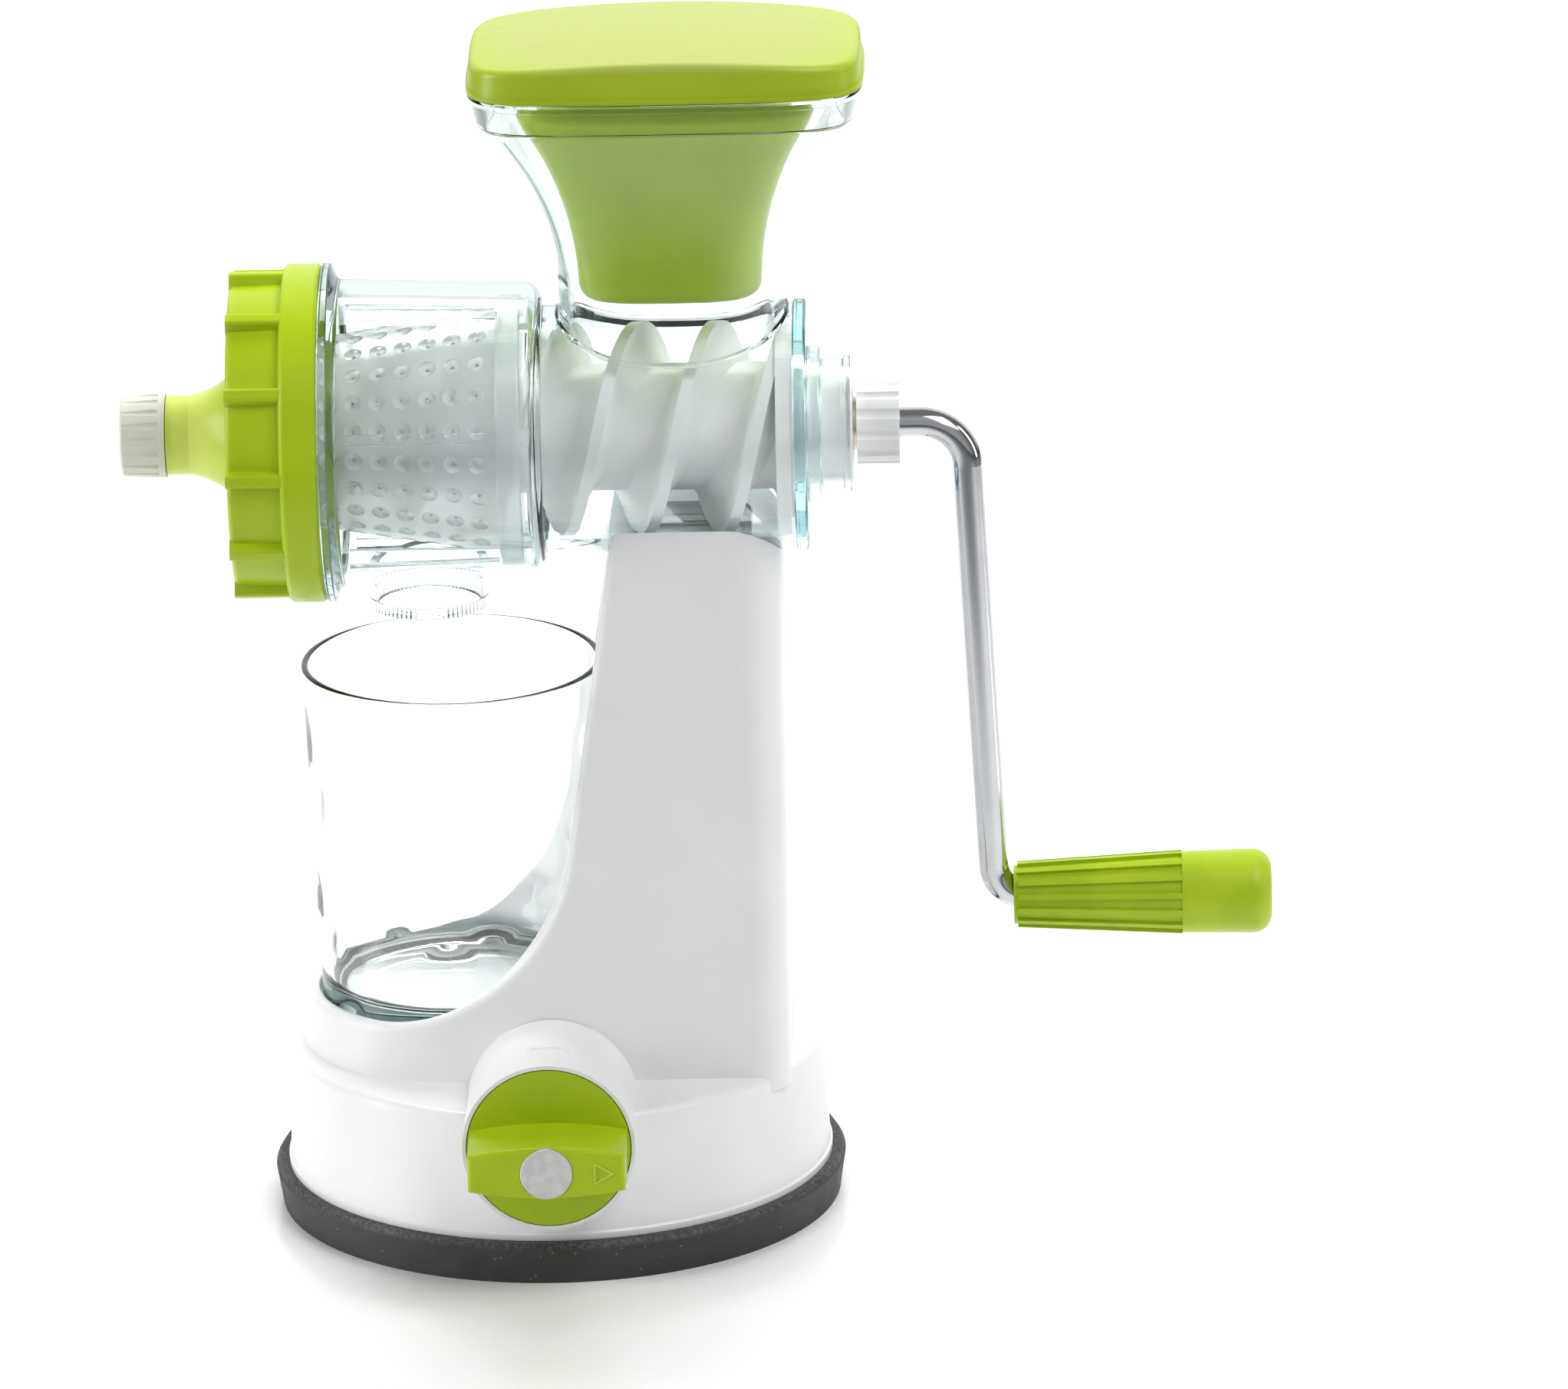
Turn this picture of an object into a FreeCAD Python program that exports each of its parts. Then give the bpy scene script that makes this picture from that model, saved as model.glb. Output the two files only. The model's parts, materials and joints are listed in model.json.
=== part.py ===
"""Hand-cranked table juicer on a vacuum foot, as a parametric document.

Millimetres, +Z up. The origin is the centre of the foot's underside, +X points
along the auger toward the crank, and -Y faces the user who turns the knob.
The sheet "sizes" holds every driving dimension. Each sub-part is one object,
bound to those cells, and is written to parts/LABEL.step.
"""
import FreeCAD
import Part
import Sketcher

import math
import os

from FreeCAD import Placement, Rotation, Vector

# Every driving dimension: alias, value, meaning.
SIZES = [
    # rubber foot and vacuum mechanism
    ("foot_radius", 75.0, "rubber foot, outer lip"),
    ("foot_height", 11.0, "rubber foot, top of the turned-up lip"),
    ("foot_taper", 1.5, "how much smaller the foot is at the table"),
    ("pad_thickness", 4.5, "rubber under the skirt's edge"),
    ("pad_edge", 0.15, "gap between the lip and the skirt"),
    ("pad_bevel_height", 1.5, "bevel on the rubber foot's lip"),
    ("pad_bevel", 1.0, "bevel on the rubber foot's lip"),
    ("plate_height", 10.0, "underside of the base plate"),
    ("plate_wall", 2.5, "base plate thickness"),
    ("plate_gap", 0.5, "base plate to skirt"),
    ("plate_rim", 2.0, "raised rim of the base plate"),
    ("hat_radius", 16.0, "raised middle of the base plate"),
    ("hat_top", 25.0, "top of the raised middle"),
    ("guide_length", 5.0, "stem guide in the raised middle"),
    ("guide_wall", 2.0, "stem guide in the raised middle"),
    ("stem_radius", 4.0, "lifting stem"),
    ("stem_disc_radius", 12.0, "stem's disc, bonded to the rubber"),
    ("stem_disc", 2.5, "stem's disc thickness"),
    ("running_gap", 0.06, "radial clearance of a turning or sliding fit"),
    ("vacuum_lift", 4.0, "stem travel from open to locked"),
    ("spring_radius", 8.0, "return spring, mean radius"),
    ("spring_wire", 1.4, "return spring, wire"),
    ("spring_turns", 4.5, "return spring, coils"),
    ("base_screw_circle", 54.0, "base screws, radius of their circle"),
    ("base_screw_count", 4.0, "base screws"),
    ("base_screw_radius", 1.5, "base screw shank"),
    ("base_screw_length", 12.0, "base screw shank"),
    ("screw_head_radius", 3.2, "screw head"),
    ("screw_head", 2.0, "screw head height"),
    ("screw_boss_radius", 4.5, "boss that takes a base screw"),
    ("screw_gap", 0.05, "screw to its hole"),
    # stand
    ("skirt_radius", 71.6, "skirt just above the foot"),
    ("skirt_bevel", 1.0, "skirt's lower edge"),
    ("skirt_step", 0.5, "step in the skirt above the foot"),
    ("skirt_step_height", 1.5, "step in the skirt, above the foot's lip"),
    ("ledge_radius", 69.7, "skirt at the ledge"),
    ("ledge_height", 44.0, "ledge"),
    ("ledge_round", 2.5, "rounded edge of the ledge"),
    ("body_root", 4.0, "how far the upper body reaches into the skirt"),
    ("shell_wall", 3.0, "wall of the stand"),
    ("tumbler_offset", 24.8, "tumbler axis, left of the foot's centre"),
    ("body_half_depth", 42.0, "upper body at the ledge"),
    ("column_right", 62.0, "right face of the column"),
    ("corner_low", 10.0, "column corner at the ledge"),
    ("corner_high", 14.0, "column corner at the top"),
    ("column_half_depth", 24.4, "column at its top"),
    ("cavity_lean", 1.0, "column at the top of its hollow, beyond its own top"),
    ("saddle_drop", 16.6, "column's top below the auger axis, before the saddle is cut"),
    ("seat_floor", 54.0, "floor that the tumbler stands on"),
    ("seat_gap", 0.8, "tumbler to the seat's wall"),
    ("seat_room", 1.5, "hollow under the tumbler's seat, beyond the tumbler"),
    ("scoop_left", 47.0, "scoop's centre, left of the foot's centre"),
    ("scoop_height", 111.0, "scoop's centre height"),
    ("scoop_radius", 53.0, "scoop beside the tumbler"),
    ("scoop_lean", 9.0, "lean of the column's left edge, degrees"),
    ("edge_round", 2.2, "rounded edges of the scoop"),
    ("saddle_gap", 0.35, "drum to its saddle"),
    # knob
    ("knob_height", 38.0, "knob axis"),
    ("boss_radius", 22.4, "knob boss"),
    ("boss_front", 76.0, "front of the boss"),
    ("boss_back", 40.0, "back of the boss"),
    ("knob_radius", 21.1, "knob disc"),
    ("knob_gap", 0.3, "knob disc to the boss"),
    ("knob_disc", 4.0, "knob disc thickness"),
    ("hub_radius", 7.0, "knob hub"),
    ("hub_length", 5.6, "knob hub"),
    ("bar_reach", 20.0, "grip bar, how far it stands out"),
    ("bar_half_width", 20.25, "grip bar"),
    ("bar_half_end", 4.9, "grip bar, half height at its ends"),
    ("bar_half_middle", 6.85, "grip bar, half height in the middle"),
    ("bar_round", 1.4, "grip bar's front edges"),
    ("cap_disc_gap", 0.1, "disc that hides the screw, to its recess"),
    ("knob_cap_radius", 6.75, "disc that hides the screw"),
    ("knob_cap_thickness", 1.8, "disc that hides the screw"),
    ("knob_cap_proud", 0.3, "how far the disc stands out"),
    ("knob_cap_round", 0.4, "disc that hides the screw, front edge"),
    ("knob_screw_head_at", 8.0, "screw seat in front of the disc"),
    ("knob_screw_length", 14.0, "knob screw shank"),
    ("screw_head_gap", 0.3, "screw head to its well"),
    ("screw_shank_gap", 0.1, "knob screw to the knob"),
    ("shaft_radius", 3.2, "cam shaft"),
    ("shaft_square", 4.4, "cam shaft's square end"),
    ("bearing_back", 22.0, "back of the rear bearing rib"),
    ("bearing_wall", 4.0, "rear bearing rib"),
    ("bearing_radius", 8.0, "rear bearing rib, round end"),
    ("shaft_tail", 0.5, "cam shaft past the front of its rear bearing"),
    ("bay_gap", 2.0, "room around the yoke in the stand"),
    ("cam_base", 4.2, "cam at its lowest"),
    ("cam_width", 5.0, "cam along the shaft"),
    ("cam_gap", 0.12, "cam to the yoke"),
    ("yoke_half_width", 12.0, "yoke, outside"),
    ("yoke_wall", 3.0, "yoke bars"),
    ("yoke_depth", 6.0, "yoke along the shaft"),
    ("yoke_corner", 2.0, "yoke's outer corners"),
    ("yoke_room", 0.6, "yoke below the cam"),
    ("clip_radius", 5.6, "shaft clip"),
    ("clip_thickness", 0.8, "shaft clip"),
    ("clip_groove", 0.5, "depth of the shaft's groove"),
    ("clip_mouth", 0.9, "shaft clip's opening, as a share of its bore"),
    # drum and chamber
    ("axis_height", 208.6, "auger axis"),
    ("drum_radius", 32.2, "drum, outside"),
    ("drum_wall", 3.0, "drum wall"),
    ("drum_left", 1.5, "drum begins at the chamber's end wall"),
    ("plate_left", 66.4, "drum end plate"),
    ("plate_right", 69.6, "drum end plate"),
    ("plate_radius", 32.7, "drum end plate"),
    ("step_right", 73.0, "step on the end plate"),
    ("step_radius", 20.3, "step on the end plate"),
    ("neck_radius", 17.0, "bearing neck"),
    ("neck_right", 80.8, "bearing neck"),
    ("neck_lip_radius", 17.8, "lip of the bearing neck"),
    ("neck_lip", 2.0, "lip of the bearing neck"),
    ("foot_left", 24.0, "clear foot that plugs into the column"),
    ("foot_right", 54.0, "clear foot"),
    ("foot_half_depth", 17.0, "clear foot"),
    ("foot_drop", 56.6, "underside of the clear foot, below the auger axis"),
    ("foot_corner", 4.0, "clear foot's corners"),
    ("foot_inner_corner", 2.0, "hollow of the clear foot"),
    ("foot_roof", 1.0, "hollow of the clear foot, below the drum"),
    ("socket_gap", 0.3, "clear foot to its socket"),
    ("clear_wall", 2.5, "clear moulding's wall"),
    ("chamber_right_radius", 38.1, "chamber, outside at the right"),
    ("chamber_left_radius", 39.8, "chamber, outside at the left"),
    ("chamber_round", 5.0, "chamber's right corner"),
    ("chamber_left", 51.4, "chamber, where its flange begins"),
    ("flange_radius", 43.9, "chamber flange"),
    ("flange_right", 53.2, "chamber flange"),
    ("flange_left", 55.5, "chamber flange"),
    ("neck_left", 62.8, "chamber's screw neck"),
    ("screw_neck_radius", 40.6, "chamber's screw neck"),
    ("spout_left", 30.0, "juice spout, left of the foot's centre"),
    ("spout_radius", 15.9, "juice spout, outside"),
    ("spout_wall", 2.0, "juice spout"),
    ("spout_drop", 46.6, "juice spout's mouth, below the auger axis"),
    ("rail_count", 6.0, "rails inside the chamber"),
    ("rail_width", 2.5, "rails inside the chamber"),
    ("rail_height", 2.2, "rails inside the chamber"),
    ("rail_left", 49.0, "rails inside the chamber"),
    ("rail_turn", 13.4, "first rail, degrees above the front"),
    ("seat_clearance", 0.3, "between pieces that seat on each other without touching"),
    # hopper and pusher
    ("hopper_middle", 35.0, "hopper axis, right of the foot's centre"),
    ("throat_half_width", 29.3, "hopper throat"),
    ("throat_half_depth", 22.5, "hopper throat"),
    ("throat_rise", 34.4, "where the hopper starts to flare, above the auger axis"),
    ("rim_half_width", 48.2, "hopper where its tray begins"),
    ("rim_half_depth", 31.2, "hopper where its tray begins"),
    ("flare_rise", 52.0, "hopper's flare, from the throat to where its tray begins"),
    ("tray_rise", 8.8, "hopper's tray, from its rim to its upper edge"),
    ("tray_spread", 1.8, "how much the tray opens"),
    ("throat_squareness", 2.7, "exponent of the throat's outline"),
    ("rim_squareness", 5.0, "exponent of the rim's outline"),
    ("flare_power", 2.25, "how late the hopper flares"),
    ("pusher_gap", 9.65, "pusher's end above the auger's flights"),
    ("pusher_half_width", 24.0, "pusher"),
    ("pusher_half_depth", 17.5, "pusher"),
    ("pusher_spread_width", 13.5, "pusher's growth up to the rim"),
    ("pusher_spread_depth", 8.5, "pusher's growth up to the rim"),
    ("pusher_wall", 2.2, "pusher's wall"),
    ("pusher_round", 4.5, "pusher's lower edge"),
    ("lid_gap", 0.2, "lid to the tray's edge"),
    ("lid_half_width", 51.0, "pusher lid"),
    ("lid_half_depth", 33.0, "pusher lid"),
    ("lid_height", 11.5, "pusher lid at its crown"),
    ("lid_crown_radius", 400.0, "pusher lid's crown"),
    ("lid_round", 2.2, "pusher lid's edge"),
    ("lid_lip", 1.1, "lip around the foot of the pusher lid"),
    ("lid_lip_proud", 0.4, "lip around the foot of the pusher lid"),
    ("lid_draft", 1.0, "how much the pusher lid narrows to its crown"),
    # strainer, auger, crank
    ("strainer_right", 4.0, "strainer flange"),
    ("strainer_flange", 6.0, "strainer flange"),
    ("strainer_flange_radius", 35.2, "strainer flange"),
    ("strainer_key_width", 4.0, "keys that hold the strainer off the end wall"),
    ("strainer_key_height", 2.6, "keys that hold the strainer off the end wall"),
    ("strainer_radius", 32.0, "strainer cone beside the flange"),
    ("strainer_left", 76.3, "strainer's small end"),
    ("strainer_end_radius", 21.5, "strainer's small end"),
    ("strainer_wall", 2.1, "strainer wall"),
    ("strainer_hole_rows", 16.0, "rows of holes around the strainer"),
    ("strainer_holes", 7.0, "holes in a row"),
    ("strainer_hole_first", 16.0, "first hole of a row, left of the foot's centre"),
    ("strainer_hole_pitch", 7.33, "from hole to hole along a row"),
    ("strainer_hole_outside", 1.7, "hole, where it opens outward"),
    ("strainer_hole_inside", 0.5, "hole, on the side of the auger"),
    ("auger_core", 16.5, "auger core"),
    ("auger_radius", 27.75, "auger flights"),
    ("auger_lead", 41.0, "auger lead"),
    ("auger_tip_width", 3.0, "flight at its edge"),
    ("auger_root_width", 12.0, "flight at the core"),
    ("auger_hollow", 2.0, "how hollow the flights' sides are"),
    ("auger_starts", 2.0, "flights on the auger"),
    ("auger_phase", 24.5, "where a flight passes the top"),
    ("auger_disc_left", 61.7, "auger's rear disc"),
    ("auger_disc_right", 65.3, "auger's rear disc"),
    ("auger_disc_radius", 28.8, "auger's rear disc"),
    ("auger_taper_right", 0.0, "where the flights begin to taper"),
    ("auger_nose_left", 74.0, "auger's tip"),
    ("auger_nose_radius", 19.2, "flights where they end"),
    ("auger_tip_length", 12.0, "auger's conical tip"),
    ("auger_tip_radius", 8.0, "auger's end"),
    ("journal_radius", 15.0, "auger journal"),
    ("journal_right", 81.2, "auger journal"),
    ("washer_radius", 24.0, "thrust washer"),
    ("washer_thickness", 1.0, "thrust washer"),
    ("insert_radius", 7.0, "brass drive insert"),
    ("insert_left", 71.0, "brass drive insert"),
    ("rod_radius", 4.0, "crank rod"),
    ("rod_gap", 0.05, "rod in its insert"),
    ("rod_bend", 12.0, "crank rod's upper bend"),
    ("rod_low_bend", 8.5, "crank rod's lower bend"),
    ("rod_start", 1.0, "crank rod, in from the end of its insert"),
    ("axle_end", 98.5, "where the crank's axle begins to bend"),
    ("arm_lean", 2.5, "lean of the crank arm, degrees"),
    ("crank_radius", 129.5, "crank throw"),
    ("rod_end", 176.0, "crank rod's end in the grip"),
    ("nut_left", 82.2, "fluted crank nut"),
    ("nut_right", 93.2, "fluted crank nut"),
    ("nut_radius", 10.5, "fluted crank nut"),
    ("nut_flutes", 12.0, "fluted crank nut"),
    ("nut_flute_radius", 1.7, "flute of the crank nut"),
    ("nut_flute_out", 0.9, "flute's centre, outside the crank nut"),
    ("grip_left", 120.5, "grip"),
    ("grip_ribs_right", 164.5, "grip, end of its ribs"),
    ("grip_right", 188.0, "grip"),
    ("grip_small_radius", 7.7, "grip at its inner end"),
    ("grip_large_radius", 11.0, "grip at its outer end"),
    ("grip_rib_count", 14.0, "grip ribs"),
    ("grip_rib_height", 0.9, "grip ribs"),
    ("grip_rib_width", 1.5, "grip ribs"),
    ("grip_rib_start", 1.0, "grip ribs, in from the grip's inner end"),
    ("grip_rib_taper", 0.72, "share of the grip's widening that its ribbed part takes"),
    ("grip_band_step", 0.6, "step from the ribbed part to the smooth band"),
    ("grip_mouth", 1.4, "room around the rod's bend in the grip's mouth"),
    ("grip_cavity_left", 172.0, "grip's hollow end"),
    ("grip_cavity_radius", 7.6, "grip's hollow end"),
    ("plug_left", 182.0, "grip's end plug"),
    ("plug_round", 5.0, "grip's rounded end"),
    ("plug_spigot", 3.0, "grip's end plug, inside the grip"),
    ("grip_clip_radius", 6.8, "push-on clip on the rod's end"),
    ("grip_clip_thickness", 1.2, "push-on clip on the rod's end"),
    ("grip_clip_inset", 1.0, "push-on clip, in from the rod's end"),
    # end cap and pulp outlet
    ("cap_gap", 0.2, "cap rim to the chamber flange"),
    ("cap_rim_left", 65.4, "cap's smooth rim"),
    ("cap_rim_radius", 43.9, "cap's smooth rim"),
    ("cap_rim_bevel", 0.8, "cap's smooth rim, right edge"),
    ("cap_rim_round", 1.6, "cap's smooth rim, left edge"),
    ("cap_panel_radius", 41.0, "cap between its ribs"),
    ("cap_panel_draft", 0.4, "how much the cap narrows to its end face"),
    ("cap_edge_round", 1.5, "cap's edge at its end face"),
    ("cap_wall", 2.5, "cap wall"),
    ("cap_left", 79.2, "cap's end face"),
    ("cap_rib_count", 12.0, "cap ribs"),
    ("cap_rib_width", 3.7, "cap ribs"),
    ("cap_rib_spread", 0.6, "how much wider a cap rib is at its root"),
    ("cap_rib_round", 1.0, "cap ribs, outer edges"),
    ("cap_rib_root", 2.0, "how deep a cap rib's root lies in the cap"),
    ("cap_rib_radius", 43.5, "cap ribs"),
    ("cap_neck_gap", 0.7, "cap to the screw neck"),
    ("gasket", 1.2, "silicone gasket"),
    ("cone_radius", 16.2, "cap's cone at the end face"),
    ("cone_sweep", 24.0, "hollow of the cone's side"),
    ("nozzle_radius", 10.3, "pulp nozzle"),
    ("nozzle_right", 90.6, "pulp nozzle"),
    ("nozzle_left", 96.6, "pulp nozzle"),
    ("nozzle_bore", 7.0, "pulp nozzle's bore"),
    ("nozzle_bore_end", 4.0, "nozzle's bore, past the root of the nozzle"),
    ("adjuster_left", 108.4, "pulp adjuster"),
    ("adjuster_radius", 11.0, "pulp adjuster"),
    ("adjuster_taper", 0.5, "pulp adjuster"),
    ("adjuster_flutes", 18.0, "pulp adjuster"),
    ("adjuster_flute_radius", 1.1, "flute of the pulp adjuster"),
    ("adjuster_flute_out", 0.5, "flute's centre, outside the adjuster"),
    ("adjuster_collar", 2.0, "plain collar beside the flutes"),
    ("adjuster_bevel", 0.6, "pulp adjuster's outer edge"),
    ("adjuster_bore", 4.5, "pulp outlet"),
    ("adjuster_spigot", 11.0, "pulp adjuster's spigot"),
    ("adjuster_gap", 0.2, "pulp adjuster to the nozzle"),
    # tumbler
    ("tumbler_low_radius", 36.5, "tumbler at its foot"),
    ("tumbler_rim_radius", 39.2, "tumbler at its rim"),
    ("tumbler_height", 92.6, "tumbler"),
    ("tumbler_wall", 1.7, "tumbler"),
    ("tumbler_base", 6.0, "tumbler's thick bottom"),
    ("tumbler_foot_round", 2.0, "tumbler's foot"),
    ("tumbler_inner_round", 3.0, "tumbler, inside at the bottom"),
    ("tumbler_lip", 0.6, "tumbler's softened lip"),
]

OVERCUT = 2.0          # how far a cutting tool runs past the face it leaves by
BITE = 0.5             # how deep a feature starts inside the one that it grows from
CLOSE = 0.01           # two places this near each other are the same place
LONG_EDGE = 5.0        # an edge longer than this runs along a body and doesn't cross a wall
FULL_TURN = 360.0
RAIL_ROOT = 0.5        # how deep a rail sinks into the conical wall where that is widest


# ---------------------------------------------------------------- sizes and sketches

class Size:
    """A length: its expression on the sheet, and what that comes to now."""

    def __init__(self, text, value):
        self.text = text
        self.value = value

    def __float__(self):
        return self.value

    def __add__(self, other):
        other = as_size(other)
        return Size(f"({self.text} + {other.text})", self.value + other.value)

    def __sub__(self, other):
        other = as_size(other)
        return Size(f"({self.text} - {other.text})", self.value - other.value)

    def __mul__(self, other):
        other = as_size(other)
        return Size(f"({self.text} * {other.text})", self.value * other.value)

    def __truediv__(self, other):
        other = as_size(other)
        return Size(f"({self.text} / {other.text})", self.value / other.value)

    def __radd__(self, other):
        return as_size(other) + self

    def __rsub__(self, other):
        return as_size(other) - self

    def __rmul__(self, other):
        return as_size(other) * self

    def __neg__(self):
        return as_size(0) - self


def as_size(thing):
    """A Size as it is, and a plain number as a Size."""
    return thing if isinstance(thing, Size) else Size(repr(float(thing)), float(thing))


def sine(degrees):
    """Sine of a Size in degrees."""
    return Size(f"sin({degrees.text})", math.sin(math.radians(degrees.value)))


def cosine(degrees):
    """Cosine of a Size in degrees."""
    return Size(f"cos({degrees.text})", math.cos(math.radians(degrees.value)))


class Sheet:
    """The document's sheet of sizes. sheet.alias is the Size of that cell."""

    def __init__(self, document):
        self.cells = document.addObject("Spreadsheet::Sheet", "sizes")
        self.values = {}
        for row, (alias, value, meaning) in enumerate(SIZES, 1):
            self.cells.set(f"A{row}", alias)
            self.cells.set(f"B{row}", repr(value))
            self.cells.set(f"C{row}", meaning)
            self.cells.setAlias(f"B{row}", alias)
            self.values[alias] = value

    def __getattr__(self, alias):
        return Size(f"sizes.{alias}", self.values[alias])

    # heights that follow from others, so that the head moves as one

    @property
    def column_top(self):
        """The column before the saddle is cut."""
        return self.axis_height - self.saddle_drop

    @property
    def foot_low(self):
        """Underside of the clear foot."""
        return self.axis_height - self.foot_drop

    @property
    def spout_low(self):
        """The juice spout's mouth."""
        return self.axis_height - self.spout_drop

    @property
    def throat_top(self):
        """Where the hopper starts to flare."""
        return self.axis_height + self.throat_rise

    @property
    def rim_height(self):
        """Where the hopper's tray begins."""
        return self.throat_top + self.flare_rise

    @property
    def tray_top(self):
        """The hopper's upper edge."""
        return self.rim_height + self.tray_rise

    @property
    def pusher_low(self):
        """The pusher's end."""
        return self.axis_height + self.auger_radius + self.pusher_gap


def bind(thing, path, size):
    """Tie one property to the sheet."""
    thing.setExpression(path, as_size(size).text)


def origin_part(body, role):
    """One of the body's own origin planes or axes."""
    return next(part for part in body.Origin.OriginFeatures if part.Role == role)


def new_body(document, label, x=0, y=0, z=0):
    """A PartDesign body at a place tied to the sheet."""
    body = document.addObject("PartDesign::Body", label)
    body.Label = label
    for axis, size in (("x", x), ("y", y), ("z", z)):
        bind(body, f"Placement.Base.{axis}", size)
    return body


def pin_point(drawing, geometry, vertex, u, v):
    """Hold one vertex of a sketch at (u, v)."""
    horizontal_axis, vertical_axis = -1, -2
    for kind, size, own_axis in (("DistanceX", as_size(u), vertical_axis),
                                 ("DistanceY", as_size(v), horizontal_axis)):
        if size.value == 0:
            drawing.addConstraint(Sketcher.Constraint("PointOnObject", geometry, vertex, own_axis))
            continue
        index = drawing.addConstraint(Sketcher.Constraint(kind, -1, 1, geometry, vertex, size.value))
        drawing.setExpression(f"Constraints[{index}]", size.text)


def hold_radius(drawing, geometry, radius):
    """Hold the radius of an arc or a circle."""
    radius = as_size(radius)
    index = drawing.addConstraint(Sketcher.Constraint("Radius", geometry, radius.value))
    drawing.setExpression(f"Constraints[{index}]", radius.text)


def draw_circle(drawing, u, v, radius):
    """A circle about (u, v)."""
    centre = Vector(float(u), float(v), 0)
    circle = drawing.addGeometry(Part.Circle(centre, Vector(0, 0, 1), float(radius)))
    pin_point(drawing, circle, 3, u, v)
    hold_radius(drawing, circle, radius)


def short_arc(start, end, radius, side):
    """The arc under half a turn from start to end. Side 1 turns left, -1 turns right."""
    chord = end - start
    middle = (start + end) * 0.5
    left = Vector(-chord.y, chord.x, 0).normalize()
    rise = math.sqrt(max(radius ** 2 - (chord.Length / 2) ** 2, 0))
    centre = middle + left * rise * side
    first, last = (start, end) if side > 0 else (end, start)
    angles = [math.atan2(point.y - centre.y, point.x - centre.x) for point in (first, last)]
    return Part.ArcOfCircle(Part.Circle(centre, Vector(0, 0, 1), radius), *angles)


def draw_outline(drawing, corners):
    """A closed outline through its corners.

    A corner is (u, v), or (u, v, radius, side) when an arc arrives there.
    """
    corners = list(corners)
    points = [Vector(float(corner[0]), float(corner[1]), 0) for corner in corners]
    pieces = []
    for index, corner in enumerate(corners):
        start, end = points[index - 1], points[index]
        if len(corner) == 2:
            piece = drawing.addGeometry(Part.LineSegment(start, end))
            pieces.append((piece, 1, 2))
            continue
        radius, side = corner[2:]
        piece = drawing.addGeometry(short_arc(start, end, float(radius), side))
        pieces.append((piece, 1, 2) if side > 0 else (piece, 2, 1))
        hold_radius(drawing, piece, radius)
    for index, (piece, _, end) in enumerate(pieces):
        following, start, _ = pieces[(index + 1) % len(pieces)]
        drawing.addConstraint(Sketcher.Constraint("Coincident", piece, end, following, start))
        pin_point(drawing, piece, end, *corners[index][:2])


def sketch(body, role, outlines=(), circles=(), offset=0):
    """A sketch on one of the body's origin planes, moved along its normal."""
    drawing = body.newObject("Sketcher::SketchObject", f"{body.Name}_sketch")
    drawing.AttachmentSupport = (origin_part(body, role), [""])
    drawing.MapMode = "FlatFace"
    bind(drawing, "AttachmentOffset.Base.z", offset)
    for corners in outlines:
        draw_outline(drawing, corners)
    for circle in circles:
        draw_circle(drawing, *circle)
    return drawing


# ---------------------------------------------------------------- features

def add_feature(body, kind, name):
    """A new feature of a body."""
    return body.newObject(f"PartDesign::{kind}", f"{body.Name}_{name}")


def spin(body, drawing, axis, kind="Revolution"):
    """Revolve a sketch, or cut its groove, about one of its own axes."""
    feature = add_feature(body, kind, kind.lower())
    feature.Profile = drawing
    feature.ReferenceAxis = (drawing, [axis])
    feature.Angle = FULL_TURN
    drawing.Visibility = False
    return feature


def extrude(body, drawing, length, kind="Pad", reverse=False, both_ways=False):
    """Pad or pocket a sketch by a length."""
    feature = add_feature(body, kind, kind.lower())
    feature.Profile = drawing
    bind(feature, "Length", length)
    feature.Reversed = reverse
    if both_ways:
        feature.SideType = "Symmetric"
    return feature


def loft(body, low, high, kind="AdditiveLoft"):
    """Loft between two sketches of the same number of pieces."""
    feature = add_feature(body, kind, kind.lower())
    feature.Profile = low
    feature.Sections = [high]
    feature.Ruled = True
    return feature


def around(body, features, count, role="Z_Axis"):
    """Repeat features around one of the body's axes."""
    pattern = add_feature(body, "PolarPattern", "pattern")
    pattern.Originals = features
    pattern.Axis = (origin_part(body, role), [""])
    pattern.Angle = FULL_TURN
    bind(pattern, "Occurrences", count)
    body.Tip = pattern
    return pattern


def soften(body, size, wanted, kind="Fillet"):
    """Fillet or chamfer the edges that a test picks from the body so far."""
    body.Document.recompute()
    before = body.Tip
    names = [f"Edge{number}" for number, edge in enumerate(before.Shape.Edges, 1) if wanted(edge)]
    feature = add_feature(body, kind, kind.lower())
    feature.Base = (before, names)
    bind(feature, "Radius" if kind == "Fillet" else "Size", size)
    return feature


def cut_tube(body, radius, length, x=0, y=0, z=0, turn=None):
    """Cut a round hole: a cylinder that starts at a point and runs along its own axis."""
    hole = add_feature(body, "SubtractiveCylinder", "hole")
    bind(hole, "Radius", radius)
    bind(hole, "Height", length)
    if turn:
        hole.Placement = Placement(Vector(), turn)
    for axis, size in (("x", x), ("y", y), ("z", z)):
        bind(hole, f"Placement.Base.{axis}", size)
    return hole


def rounded_box(left, right, low, high, corner):
    """A rectangle with rounded corners, as an outline."""
    return [
        (left + corner, low), (right - corner, low), (right, low + corner, corner, 1),
        (right, high - corner), (right - corner, high, corner, 1),
        (left + corner, high), (left, high - corner, corner, 1),
        (left, low + corner), (left + corner, low, corner, 1)][1:]


def free_piece(document, label, shape):
    """A sub-part whose shape is made by Part's own functions."""
    piece = document.addObject("Part::Feature", label)
    piece.Label = label
    piece.Shape = shape
    return piece


ALONG_X = Rotation(Vector(0, 1, 0), 90)


# ---------------------------------------------------------------- foot and vacuum mechanism

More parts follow.
